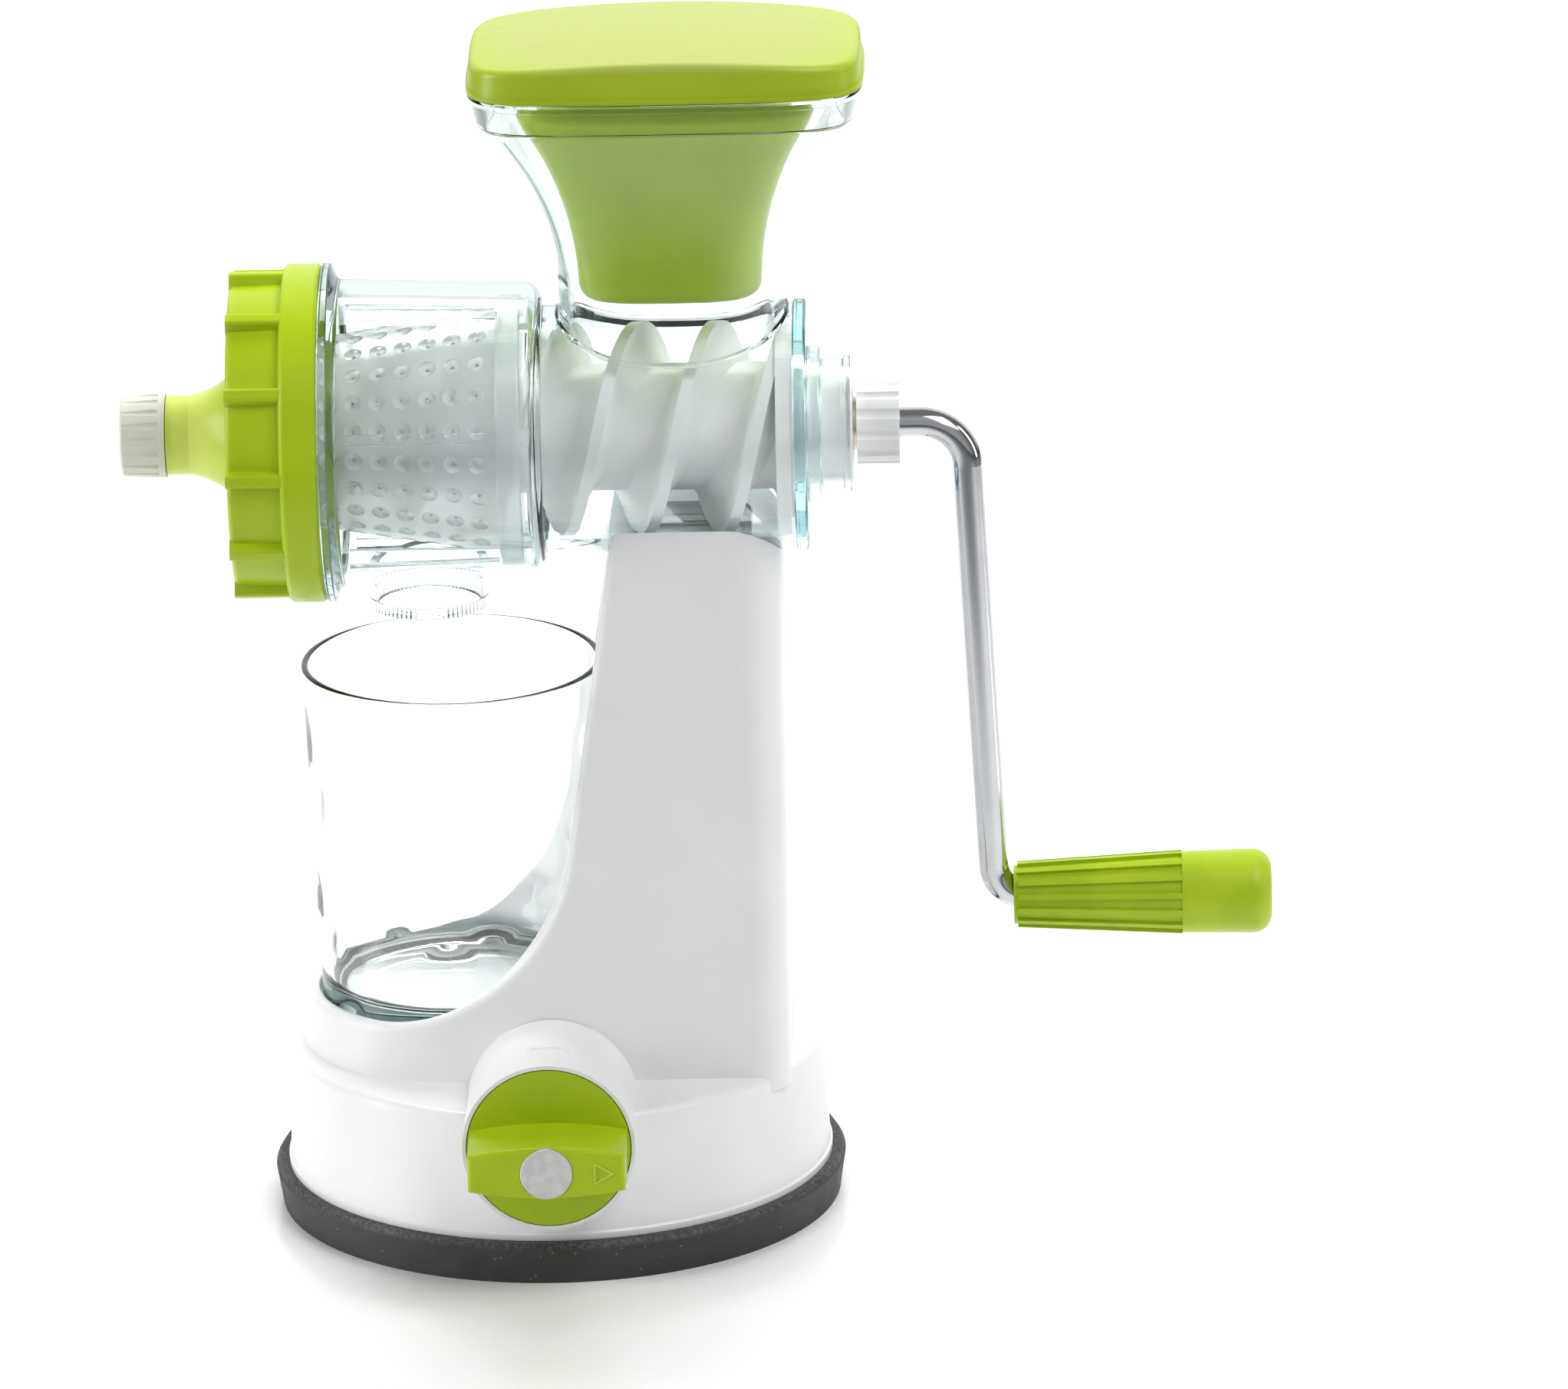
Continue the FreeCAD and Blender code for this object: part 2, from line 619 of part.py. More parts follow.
def make_suction_pad(document, s):
    """Rubber pad whose rim turns up around the skirt."""
    body = new_body(document, "suction_pad")
    lip = s.skirt_radius + s.pad_edge
    bottom = s.foot_radius - s.foot_taper
    profile = sketch(body, "XZ_Plane", [[
        (0, 0), (bottom, 0), (s.foot_radius, s.foot_height - s.pad_bevel_height),
        (s.foot_radius - s.pad_bevel, s.foot_height), (lip, s.foot_height), (lip, s.pad_thickness),
        (0, s.pad_thickness)]])
    spin(body, profile, "V_Axis")
    return body


def make_base_plate(document, s):
    """Plate that closes the skirt, with a raised hat that guides the stem."""
    body = new_body(document, "base_plate")
    rim = s.skirt_radius - s.shell_wall - s.plate_gap
    top = s.plate_height + s.plate_wall
    bore = s.stem_radius + s.running_gap
    inside = s.hat_radius - s.plate_wall
    hat = s.hat_top - s.plate_wall
    profile = sketch(body, "XZ_Plane", [[
        (bore, s.hat_top), (bore, hat - s.guide_length), (bore + s.guide_wall, hat - s.guide_length),
        (bore + s.guide_wall, hat), (inside, hat), (inside, s.plate_height), (rim, s.plate_height),
        (rim, top + s.plate_rim), (rim - s.plate_rim, top + s.plate_rim), (rim - s.plate_rim, top),
        (s.hat_radius, top), (s.hat_radius, s.hat_top)]])
    spin(body, profile, "V_Axis")
    hole = cut_tube(body, s.base_screw_radius + s.screw_gap, s.plate_wall + 2 * OVERCUT,
                    x=s.base_screw_circle * cosine(as_size(45)),
                    y=s.base_screw_circle * sine(as_size(45)), z=s.plate_height - OVERCUT)
    around(body, [hole], s.base_screw_count)
    return body


def make_base_screws(document, s):
    """Screws that hold the base plate up against the shell's bosses."""
    body = new_body(document, "base_screws")
    x = s.base_screw_circle * cosine(as_size(45))
    y = s.base_screw_circle * sine(as_size(45))
    head = sketch(body, "XY_Plane", circles=[(x, y, s.screw_head_radius)],
                  offset=s.plate_height - s.screw_head)
    shank = sketch(body, "XY_Plane", circles=[(x, y, s.base_screw_radius)], offset=s.plate_height)
    pads = [extrude(body, head, s.screw_head), extrude(body, shank, s.base_screw_length)]
    pattern = around(body, pads, s.base_screw_count)
    pattern.Refine = False
    body.AllowCompound = True
    return body


def make_lift_stem(document, s):
    """Stem bonded to the rubber, with a loop around the cam shaft."""
    body = new_body(document, "lift_stem")
    follower = s.knob_height + s.cam_base + s.cam_gap
    cam_low = s.knob_height - s.cam_base - s.vacuum_lift - s.yoke_room
    loop_low = cam_low - s.yoke_wall
    disc_top = s.pad_thickness + s.stem_disc
    profile = sketch(body, "XZ_Plane", [[
        (0, s.pad_thickness), (s.stem_disc_radius, s.pad_thickness), (s.stem_disc_radius, disc_top),
        (s.stem_radius, disc_top), (s.stem_radius, loop_low + BITE), (0, loop_low + BITE)]])
    spin(body, profile, "V_Axis")
    inner = s.yoke_half_width - s.yoke_wall
    loop = sketch(body, "XZ_Plane", [
        rounded_box(-s.yoke_half_width, s.yoke_half_width, loop_low, follower + s.yoke_wall, s.yoke_corner),
        [(-inner, cam_low), (inner, cam_low), (inner, follower), (-inner, follower)]])
    extrude(body, loop, s.yoke_depth, both_ways=True)
    return body


def make_stem_spring(document, s):
    """Compression spring that presses the stem and the rubber down."""
    low = s.pad_thickness + s.stem_disc + s.spring_wire / 2
    high = s.hat_top - s.plate_wall - s.spring_wire / 2
    body = new_body(document, "stem_spring", z=low)
    wire = sketch(body, "XZ_Plane", circles=[(s.spring_radius, 0, s.spring_wire / 2)])
    coil = add_feature(body, "AdditiveHelix", "coil")
    coil.Profile = wire
    coil.ReferenceAxis = (wire, ["V_Axis"])
    coil.Mode = "height-turns-angle"
    bind(coil, "Height", high - low)
    bind(coil, "Turns", s.spring_turns)
    return body


def cam_lobe(s):
    """The lobe's outline: its reach in each direction grows evenly with the angle.

    A flat bar above it then rises in step with the turn, from the cam's lowest
    point to the full lift after half a turn.
    """
    rise = float(s.vacuum_lift) / math.pi
    steps = 12
    points = []
    for step in range(steps + 1):
        turn = math.pi * step / steps
        facing = math.pi / 2 - turn
        reach = float(s.cam_base) + rise * turn
        points.append(Vector(reach * math.cos(facing) + rise * math.sin(facing), 0,
                             reach * math.sin(facing) - rise * math.cos(facing)))
    curve = Part.BSplineCurve()
    curve.interpolate(points)
    edges = [curve.toShape(), Part.makeLine(points[-1], points[0])]
    face = Part.Face(Part.Wire(edges))
    half = float(s.cam_width) / 2
    face.translate(Vector(0, -half, 0))
    return face.extrude(Vector(0, 2 * half, 0))


def make_cam_shaft(document, s):
    """Shaft from the knob to the rear bearing, with the cam in the yoke."""
    square_start = s.boss_front - s.knob_disc - s.hub_length
    body = new_body(document, "cam_shaft_rod", z=s.knob_height)
    back = s.bearing_back + s.shaft_tail
    rod = sketch(body, "XZ_Plane", circles=[(0, 0, s.shaft_radius)], offset=-back)
    extrude(body, rod, back + square_start)
    hub = sketch(body, "XZ_Plane", circles=[(0, 0, s.cam_base)], offset=-s.cam_width / 2)
    extrude(body, hub, s.cam_width)
    half = s.shaft_square / 2
    end = sketch(body, "XZ_Plane", [[(-half, -half), (half, -half), (half, half), (-half, half)]],
                 offset=square_start)
    extrude(body, end, s.boss_front - square_start)
    thread = sketch(body, "XZ_Plane", circles=[(0, 0, s.base_screw_radius + s.screw_gap)],
                    offset=s.boss_front)
    extrude(body, thread, s.knob_screw_length, kind="Pocket")
    groove_at = s.boss_back - s.clip_thickness - 2 * s.screw_gap
    groove = s.clip_thickness + 2 * s.screw_gap
    ring = sketch(body, "XZ_Plane", offset=groove_at + groove,
                  circles=[(0, 0, s.shaft_radius + OVERCUT), (0, 0, s.shaft_radius - s.clip_groove)])
    extrude(body, ring, groove, kind="Pocket")
    lobe = free_piece(document, "cam_lobe", cam_lobe(s))
    bind(lobe, "Placement.Base.z", s.knob_height)
    shaft = document.addObject("Part::Fuse", "cam_shaft")
    shaft.Label = "cam_shaft"
    shaft.Base = body
    shaft.Tool = lobe
    return shaft


def make_shaft_clip(document, s):
    """Open ring in the shaft's groove, just behind the boss."""
    body = new_body(document, "shaft_clip", z=s.knob_height)
    inner = s.shaft_radius - s.clip_groove + s.screw_gap
    at = s.boss_back - s.screw_gap
    ring = sketch(body, "XZ_Plane", circles=[(0, 0, s.clip_radius), (0, 0, inner)], offset=at)
    extrude(body, ring, s.clip_thickness, reverse=True)
    mouth = inner * s.clip_mouth
    slot = sketch(body, "XZ_Plane", [[(-mouth, -s.clip_radius - OVERCUT), (mouth, -s.clip_radius - OVERCUT),
                                      (mouth, 0), (-mouth, 0)]], offset=at + OVERCUT)
    extrude(body, slot, s.clip_thickness + 2 * OVERCUT, kind="Pocket")
    return body


def bar_outline(s):
    """Front view of the knob's grip bar, with bowed long sides."""
    bow = s.bar_half_middle - s.bar_half_end
    radius = (s.bar_half_width * s.bar_half_width + bow * bow) / (2 * bow)
    return [(s.bar_half_width, -s.bar_half_end, radius, 1), (s.bar_half_width, s.bar_half_end),
            (-s.bar_half_width, s.bar_half_end, radius, 1), (-s.bar_half_width, -s.bar_half_end)]


def make_knob(document, s):
    """Disc, hub and grip bar in one moulding."""
    body = new_body(document, "knob", z=s.knob_height)
    disc = sketch(body, "XZ_Plane", circles=[(0, 0, s.knob_radius)], offset=s.boss_front)
    extrude(body, disc, s.knob_disc, reverse=True)
    hub = sketch(body, "XZ_Plane", circles=[(0, 0, s.hub_radius)],
                 offset=s.boss_front - s.knob_disc + BITE)
    extrude(body, hub, s.hub_length + BITE, reverse=True)
    bar = sketch(body, "XZ_Plane", [bar_outline(s)], offset=s.boss_front - BITE)
    extrude(body, bar, s.bar_reach + BITE)
    front = -float(s.boss_front + s.bar_reach)
    soften(body, s.bar_round, lambda edge: abs(edge.BoundBox.YMin - front) < CLOSE
           and abs(edge.BoundBox.YMax - front) < CLOSE)
    recess = s.knob_cap_thickness - s.knob_cap_proud
    seat = s.boss_front + s.knob_screw_head_at
    wells = [(s.knob_cap_radius + s.cap_disc_gap, recess, s.boss_front + s.bar_reach),
             (s.screw_head_radius + s.screw_head_gap, s.bar_reach - s.knob_screw_head_at,
              s.boss_front + s.bar_reach),
             (s.base_screw_radius + s.screw_shank_gap, s.knob_screw_head_at + BITE, seat)]
    for radius, depth, front_face in wells:
        well = sketch(body, "XZ_Plane", circles=[(0, 0, radius)], offset=front_face)
        extrude(body, well, depth, kind="Pocket")
    half = s.shaft_square / 2 + s.screw_gap
    socket_length = s.knob_disc + s.hub_length
    socket = sketch(body, "XZ_Plane", [[(-half, -half), (half, -half), (half, half), (-half, half)]],
                    offset=s.boss_front)
    extrude(body, socket, socket_length + OVERCUT, kind="Pocket")
    return body


def make_knob_cap(document, s):
    """Disc pressed into the grip bar over the screw."""
    body = new_body(document, "knob_cap", z=s.knob_height)
    front = s.boss_front + s.bar_reach + s.knob_cap_proud
    disc = sketch(body, "XZ_Plane", circles=[(0, 0, s.knob_cap_radius)], offset=front)
    extrude(body, disc, s.knob_cap_thickness, reverse=True)
    soften(body, s.knob_cap_round, lambda edge: edge.BoundBox.YMax < CLOSE - float(front))
    return body


def make_knob_screw(document, s):
    """Screw along the knob's axis into the shaft's end."""
    body = new_body(document, "knob_screw", z=s.knob_height)
    seat = s.boss_front + s.knob_screw_head_at
    head = sketch(body, "XZ_Plane", circles=[(0, 0, s.screw_head_radius)], offset=seat)
    extrude(body, head, s.screw_head)
    shank = sketch(body, "XZ_Plane", circles=[(0, 0, s.base_screw_radius)], offset=seat)
    extrude(body, shank, s.knob_screw_length, reverse=True)
    return body


# ---------------------------------------------------------------- stand

def plan(s, half_depth, corner):
    """Plan of the upper body: round about the tumbler, square about the column."""
    left = -s.tumbler_offset
    right = s.column_right
    return [
        (right - corner, -half_depth), (right, corner - half_depth, corner, 1),
        (right, half_depth - corner), (right - corner, half_depth, corner, 1),
        (left, half_depth), (left - half_depth, 0, half_depth, 1), (left, -half_depth, half_depth, 1)]


def make_stand_shell(document, s):
    """Skirt, tumbler seat and column in one hollow moulding, with the knob's boss."""
    body = new_body(document, "stand_shell")
    bottom = s.pad_thickness
    skirt = sketch(body, "XZ_Plane", [[
        (0, bottom), (s.skirt_radius - s.skirt_bevel, bottom), (s.skirt_radius, bottom + s.skirt_bevel),
        (s.skirt_radius, s.foot_height + s.skirt_step_height),
        (s.skirt_radius - s.skirt_step, s.foot_height + s.skirt_step_height + s.skirt_step),
        (s.ledge_radius, s.ledge_height - s.ledge_round),
        (s.ledge_radius - s.ledge_round, s.ledge_height, s.ledge_round, 1), (0, s.ledge_height)]])
    spin(body, skirt, "V_Axis")
    plan_low = s.ledge_height - s.body_root
    low = sketch(body, "XY_Plane", [plan(s, s.body_half_depth, s.corner_low)], offset=plan_low)
    high = sketch(body, "XY_Plane", [plan(s, s.column_half_depth, s.corner_high)], offset=s.column_top)
    loft(body, low, high)

    # the scoop beside the tumbler: level lip, arc, then the column's leaning edge
    lip = s.scoop_height - s.scoop_radius
    arc_end_x = -s.scoop_left + s.scoop_radius * cosine(s.scoop_lean)
    arc_end_z = s.scoop_height - s.scoop_radius * sine(s.scoop_lean)
    above = s.column_top + OVERCUT
    top_x = arc_end_x + (above - arc_end_z) * sine(s.scoop_lean) / cosine(s.scoop_lean)
    far_left = -s.foot_radius - OVERCUT
    scoop = sketch(body, "XZ_Plane", [[
        (far_left, lip), (-s.scoop_left, lip), (arc_end_x, arc_end_z, s.scoop_radius, 1),
        (top_x, above), (far_left, above)]])
    extrude(body, scoop, 4 * s.body_half_depth, kind="Pocket", both_ways=True)
    soften(body, s.edge_round, lambda edge: edge.BoundBox.XMax < float(top_x) + BITE
           and float(lip) - BITE < edge.BoundBox.ZMin and edge.BoundBox.ZMax < float(above)
           and max(edge.BoundBox.XLength, edge.BoundBox.ZLength) > LONG_EDGE)

    # seat of the tumbler, opened upward with the glass's own draft
    rise = above - s.seat_floor
    draft = (s.tumbler_rim_radius - s.tumbler_low_radius) / s.tumbler_height
    seat = add_feature(body, "SubtractiveCone", "seat")
    bind(seat, "Radius1", s.tumbler_low_radius + s.seat_gap)
    bind(seat, "Radius2", s.tumbler_low_radius + s.seat_gap + draft * rise)
    bind(seat, "Height", rise)
    bind(seat, "Placement.Base.x", -s.tumbler_offset)
    bind(seat, "Placement.Base.z", s.seat_floor)

    # saddle under the drum, and the socket for its foot
    cut_tube(body, s.drum_radius + s.saddle_gap, s.column_right + s.foot_radius,
             z=s.axis_height, turn=ALONG_X)
    socket = sketch(body, "XY_Plane", [rounded_box(
        s.foot_left - s.socket_gap, s.foot_right + s.socket_gap,
        -s.foot_half_depth - s.socket_gap, s.foot_half_depth + s.socket_gap,
        s.foot_corner)], offset=s.foot_low)
    extrude(body, socket, s.axis_height - s.foot_low, kind="Pocket", reverse=True)

    # hollow skirt, hollow under the seat, hollow column
    ceiling = s.ledge_height - s.shell_wall
    hollow = sketch(body, "XZ_Plane", [[
        (0, bottom - OVERCUT), (s.skirt_radius - s.shell_wall, bottom - OVERCUT),
        (s.skirt_radius - s.shell_wall, s.foot_height), (s.ledge_radius - s.shell_wall, ceiling),
        (0, ceiling)]])
    spin(body, hollow, "V_Axis", kind="Groove")
    under_seat = s.seat_floor - s.shell_wall
    cut_tube(body, s.tumbler_low_radius + s.seat_room, under_seat - ceiling + OVERCUT,
             x=-s.tumbler_offset, z=ceiling - OVERCUT)
    cavity_top = s.foot_low - s.shell_wall
    seat_edge = s.tumbler_low_radius + s.seat_gap + draft * (cavity_top - s.seat_floor)
    cavity_left = seat_edge + s.shell_wall - s.tumbler_offset
    cavity_right = s.column_right - s.shell_wall
    cavity = []
    for half_depth, height in ((s.body_half_depth, ceiling - 2 * BITE),
                               (s.column_half_depth + s.cavity_lean, cavity_top)):
        inside = half_depth - s.shell_wall
        cavity.append(sketch(body, "XY_Plane", [rounded_box(
            cavity_left, cavity_right, -inside, inside, s.corner_low - s.shell_wall)], offset=height))
    loft(body, *cavity, kind="SubtractiveLoft")

    # bay for the yoke and the cam shaft
    bay_half = s.yoke_half_width + s.bay_gap
    bay_back = s.bearing_back + s.bearing_wall
    bay = sketch(body, "XY_Plane", [[(-bay_half, -s.boss_back), (bay_half, -s.boss_back),
                                     (bay_half, bay_back), (-bay_half, bay_back)]], offset=ceiling - OVERCUT)
    extrude(body, bay, under_seat - ceiling + OVERCUT, kind="Pocket", reverse=True)

    # knob boss with its recess and bearing, and the rear bearing rib
    boss = sketch(body, "XZ_Plane", circles=[(0, s.knob_height, s.boss_radius)], offset=s.boss_front)
    extrude(body, boss, s.boss_front - s.boss_back, reverse=True)
    rib = sketch(body, "XZ_Plane", [[
        (-s.bearing_radius, s.knob_height), (0, s.knob_height - s.bearing_radius, s.bearing_radius, 1),
        (s.bearing_radius, s.knob_height, s.bearing_radius, 1), (s.bearing_radius, under_seat + BITE),
        (-s.bearing_radius, under_seat + BITE)]], offset=-s.bearing_back)
    extrude(body, rib, s.bearing_wall)
    bore = s.shaft_radius + s.running_gap
    recess = s.knob_disc + s.knob_gap
    wells = [(s.knob_radius + s.knob_gap, recess), (s.hub_radius + s.knob_gap, recess + s.hub_length),
             (bore, s.boss_front - s.boss_back + OVERCUT)]
    for radius, depth in wells:
        well = sketch(body, "XZ_Plane", circles=[(0, s.knob_height, radius)], offset=s.boss_front)
        extrude(body, well, depth, kind="Pocket")
    rear = sketch(body, "XZ_Plane", circles=[(0, s.knob_height, bore)],
                  offset=OVERCUT - s.bearing_back + s.bearing_wall)
    extrude(body, rear, s.bearing_wall + 2 * OVERCUT, kind="Pocket")

    # bosses for the base plate's screws
    plate_top = s.plate_height + s.plate_wall
    x = s.base_screw_circle * cosine(as_size(45))
    y = s.base_screw_circle * sine(as_size(45))
    post = sketch(body, "XY_Plane", circles=[(x, y, s.screw_boss_radius)], offset=plate_top)
    posts = [extrude(body, post, ceiling - plate_top + 2 * BITE)]
    posts.append(cut_tube(body, s.base_screw_radius + s.screw_gap, s.base_screw_length + 2 * BITE,
                          x=x, y=y, z=plate_top - 2 * BITE))
    around(body, posts, s.base_screw_count)
    return body


# ---------------------------------------------------------------- clear head

def turn_to_rail(drawing, s):
    """Turn a sketch drawn at the top of the drum to where the first rail lies."""
    bind(drawing, "AttachmentOffset.Rotation.Angle", 90 - s.rail_turn)


def make_juice_chamber(document, s):
    """Clear chamber with its flange, screw neck, rails and juice spout."""
    body = new_body(document, "juice_chamber", z=s.axis_height)
    bore = s.drum_radius - s.drum_wall
    wall = s.clear_wall
    spout = sketch(body, "XY_Plane", circles=[(-s.spout_left, 0, s.spout_radius)],
                   offset=s.spout_low - s.axis_height)
    extrude(body, spout, s.axis_height - s.spout_low - s.chamber_right_radius + 2 * wall)
    shell = sketch(body, "XZ_Plane", [[
        (s.drum_left, bore), (s.drum_left, s.chamber_right_radius - s.chamber_round),
        (s.drum_left - s.chamber_round, s.chamber_right_radius, s.chamber_round, 1),
        (-s.chamber_left, s.chamber_left_radius), (-s.flange_right, s.flange_radius),
        (-s.flange_left, s.flange_radius), (-s.flange_left, s.screw_neck_radius),
        (-s.neck_left, s.screw_neck_radius), (-s.neck_left, s.chamber_left_radius - wall),
        (-s.chamber_left, s.chamber_left_radius - wall),
        (s.drum_left - s.chamber_round, s.chamber_right_radius - wall),
        (s.drum_left - wall, s.chamber_right_radius - s.chamber_round, s.chamber_round - wall, -1),
        (s.drum_left - wall, bore)]])
    spin(body, shell, "H_Axis")
    inside = s.chamber_right_radius - wall
    half = s.rail_width / 2
    rooted = s.chamber_left_radius - wall + RAIL_ROOT
    rail = sketch(body, "YZ_Plane", [[
        (-half, inside - s.rail_height), (half, inside - s.rail_height), (half, rooted),
        (-half, rooted)]], offset=-s.rail_left)
    turn_to_rail(rail, s)
    rails = extrude(body, rail, s.rail_left - s.strainer_right - s.strainer_flange - s.seat_clearance)
    around(body, [rails], s.rail_count, role="X_Axis")
    cut_tube(body, s.spout_radius - s.spout_wall, s.spout_drop + OVERCUT - inside + wall + BITE,
             x=-s.spout_left, z=s.spout_low - s.axis_height - OVERCUT)
    return body


def superellipse(half_width, half_depth, squareness, height):
    """Closed smooth outline between an oval and a rectangle with bowed sides."""
    count = 40
    points = []
    for step in range(count):
        turn = 2 * math.pi * (step + 0.5) / count
        across, along = math.cos(turn), math.sin(turn)
        points.append(Vector(
            half_width * math.copysign(abs(across) ** (2 / squareness), across),
            half_depth * math.copysign(abs(along) ** (2 / squareness), along), height))
    curve = Part.BSplineCurve()
    curve.interpolate(points, PeriodicFlag=True)
    return Part.Wire(curve.toShape())


def flare_outline(s, height, half_width, half_depth, spread_width, spread_depth):
    """Outline of the hopper or pusher at a height, grown by the shared flare."""
    share = (height - float(s.throat_top)) / float(s.rim_height - s.throat_top)
    share = min(max(share, 0.0), 1.0)
    grown = share ** float(s.flare_power)
    squareness = float(s.throat_squareness) + float(s.rim_squareness - s.throat_squareness) * share
    return superellipse(half_width + spread_width * grown, half_depth + spread_depth * grown,
                        squareness, height)


def flared_solid(s, heights, half_width, half_depth, spread_width, spread_depth):
    """Solid through the flared outlines at the given heights."""
    wires = [flare_outline(s, height, half_width, half_depth, spread_width, spread_depth)
             for height in heights]
    return Part.makeLoft(wires, True, False)


def flare_heights(s, low):
    """Heights at which the flare is drawn, closer together where it bends most."""
    top, rim = float(s.throat_top), float(s.rim_height)
    stations = 7
    return [low] + [top + (rim - top) * step / (stations - 1) for step in range(stations)]


def hopper_solid(s, inset, low, tray_extra):
    """Outside (inset 0) or inside of the hopper, up past its tray."""
    width = float(s.throat_half_width) - inset
    depth = float(s.throat_half_depth) - inset
    spread_width = float(s.rim_half_width - s.throat_half_width)
    spread_depth = float(s.rim_half_depth - s.throat_half_depth)
    funnel = flared_solid(s, flare_heights(s, low), width, depth, spread_width, spread_depth)
    rim = flare_outline(s, float(s.rim_height), width, depth, spread_width, spread_depth)
    spread = float(s.tray_spread)
    rise = float(s.tray_top - s.rim_height)
    share = (rise + tray_extra) / rise
    tray_top = superellipse(width + spread_width + spread * share, depth + spread_depth + spread * share,
                            float(s.rim_squareness), float(s.tray_top) + tray_extra)
    return funnel.fuse(Part.makeLoft([rim, tray_top], True, True))


def make_auger_drum(document, s):
    """Clear drum with end plate, bearing neck and the foot that plugs into the column."""
    body = new_body(document, "auger_drum_blank", z=s.axis_height)
    drum = sketch(body, "XZ_Plane", [[
        (s.drum_left, 0), (s.drum_left, s.drum_radius), (s.plate_left, s.drum_radius),
        (s.plate_left, s.plate_radius), (s.plate_right, s.plate_radius), (s.plate_right, s.step_radius),
        (s.step_right, s.step_radius), (s.step_right, s.neck_radius),
        (s.neck_right - s.neck_lip, s.neck_radius), (s.neck_right - s.neck_lip, s.neck_lip_radius),
        (s.neck_right, s.neck_lip_radius), (s.neck_right, 0)]])
    spin(body, drum, "H_Axis")
    low = s.foot_low - s.axis_height
    foot = sketch(body, "XY_Plane", [rounded_box(s.foot_left, s.foot_right, -s.foot_half_depth,
                                                 s.foot_half_depth, s.foot_corner)], offset=low)
    extrude(body, foot, -low - s.drum_radius / 2)
    bore = s.drum_radius - s.drum_wall
    journal = s.journal_radius + s.running_gap
    end_wall = s.auger_disc_right + s.washer_thickness + s.screw_gap * 4
    inside = sketch(body, "XZ_Plane", [[
        (s.drum_left - OVERCUT, 0), (s.drum_left - OVERCUT, bore), (end_wall, bore), (end_wall, journal),
        (s.neck_right + OVERCUT, journal), (s.neck_right + OVERCUT, 0)]])
    spin(body, inside, "H_Axis", kind="Groove")
    wall = s.clear_wall
    hollow = sketch(body, "XY_Plane", [rounded_box(
        s.foot_left + wall, s.foot_right - wall, wall - s.foot_half_depth, s.foot_half_depth - wall,
        s.foot_inner_corner)], offset=low)
    extrude(body, hollow, -low - s.drum_radius - s.foot_roof, kind="Pocket", reverse=True)
    throat = hopper_solid(s, float(s.clear_wall), float(s.axis_height), 2 * BITE)
    mouth = free_piece(document, "throat_cut", throat)
    bind(mouth, "Placement.Base.x", s.hopper_middle)
    opened = document.addObject("Part::Cut", "auger_drum")
    opened.Label = "auger_drum"
    opened.Base = body
    opened.Tool = mouth
    return opened


def make_feed_hopper(document, s):
    """Clear hopper that flares from the drum to a shallow tray."""
    outside = hopper_solid(s, 0.0, float(s.axis_height), 0.0)
    inside = hopper_solid(s, float(s.clear_wall), float(s.axis_height) - 2 * BITE, 2 * BITE)
    reach = float(s.rim_half_width)
    drum = Part.makeCylinder(float(s.drum_radius), 2 * reach, Vector(-reach, 0, float(s.axis_height)),
                             Vector(1, 0, 0))
    piece = free_piece(document, "feed_hopper", outside.cut(inside).cut(drum).Solids[0])
    bind(piece, "Placement.Base.x", s.hopper_middle)
    return piece


def make_pusher_cup(document, s):
    """Hollow pusher that follows the hopper inside, open at its top."""
    wall = float(s.pusher_wall)
    low = float(s.pusher_low)
    top = float(s.tray_top + s.lid_gap)
    sizes = [float(size) for size in (s.pusher_half_width, s.pusher_half_depth,
                                      s.pusher_spread_width, s.pusher_spread_depth)]
    heights = flare_heights(s, low)[2:] + [top]
    outside = flared_solid(s, [low] + heights, *sizes)
    bottom = [edge for edge in outside.Edges if edge.BoundBox.ZMax < low + CLOSE]
    outside = outside.makeFillet(float(s.pusher_round), bottom)
    sizes[0] -= wall
    sizes[1] -= wall
    inside = flared_solid(s, [low + wall] + heights[:-1] + [top + OVERCUT], *sizes)
    piece = free_piece(document, "pusher_cup", outside.cut(inside).Solids[0])
    bind(piece, "Placement.Base.x", s.hopper_middle)
    return piece


def make_pusher_lid(document, s):
    """Crowned lid that closes the pusher and rests on the hopper's tray."""
    low = float(s.tray_top + s.lid_gap)
    high = low + float(s.lid_height)
    width, depth = float(s.lid_half_width), float(s.lid_half_depth)
    squareness = float(s.rim_squareness)
    shoulder = low + float(s.lid_lip)
    inner_width, inner_depth = (size - float(s.lid_lip_proud) for size in (width, depth))
    draft = float(s.lid_draft)
    block = Part.makeLoft([
        superellipse(inner_width, inner_depth, squareness, low),
        superellipse(inner_width - draft, inner_depth - draft, squareness, high + OVERCUT)], True, True)
    crown = float(s.lid_crown_radius)
    dome = Part.makeSphere(crown, Vector(0, 0, high - crown))
    lid = block.common(dome)
    middle = (shoulder + high) / 2
    rim = [edge for edge in lid.Edges if edge.BoundBox.ZMin > middle and edge.BoundBox.XLength > width]
    lid = lid.makeFillet(float(s.lid_round), rim)
    lip = Part.makeLoft([superellipse(width, depth, squareness, height) for height in (low, shoulder)],
                        True, True)
    lid = lid.fuse(lip)
    piece = free_piece(document, "pusher_lid", lid.Solids[0])
    bind(piece, "Placement.Base.x", s.hopper_middle)
    return piece


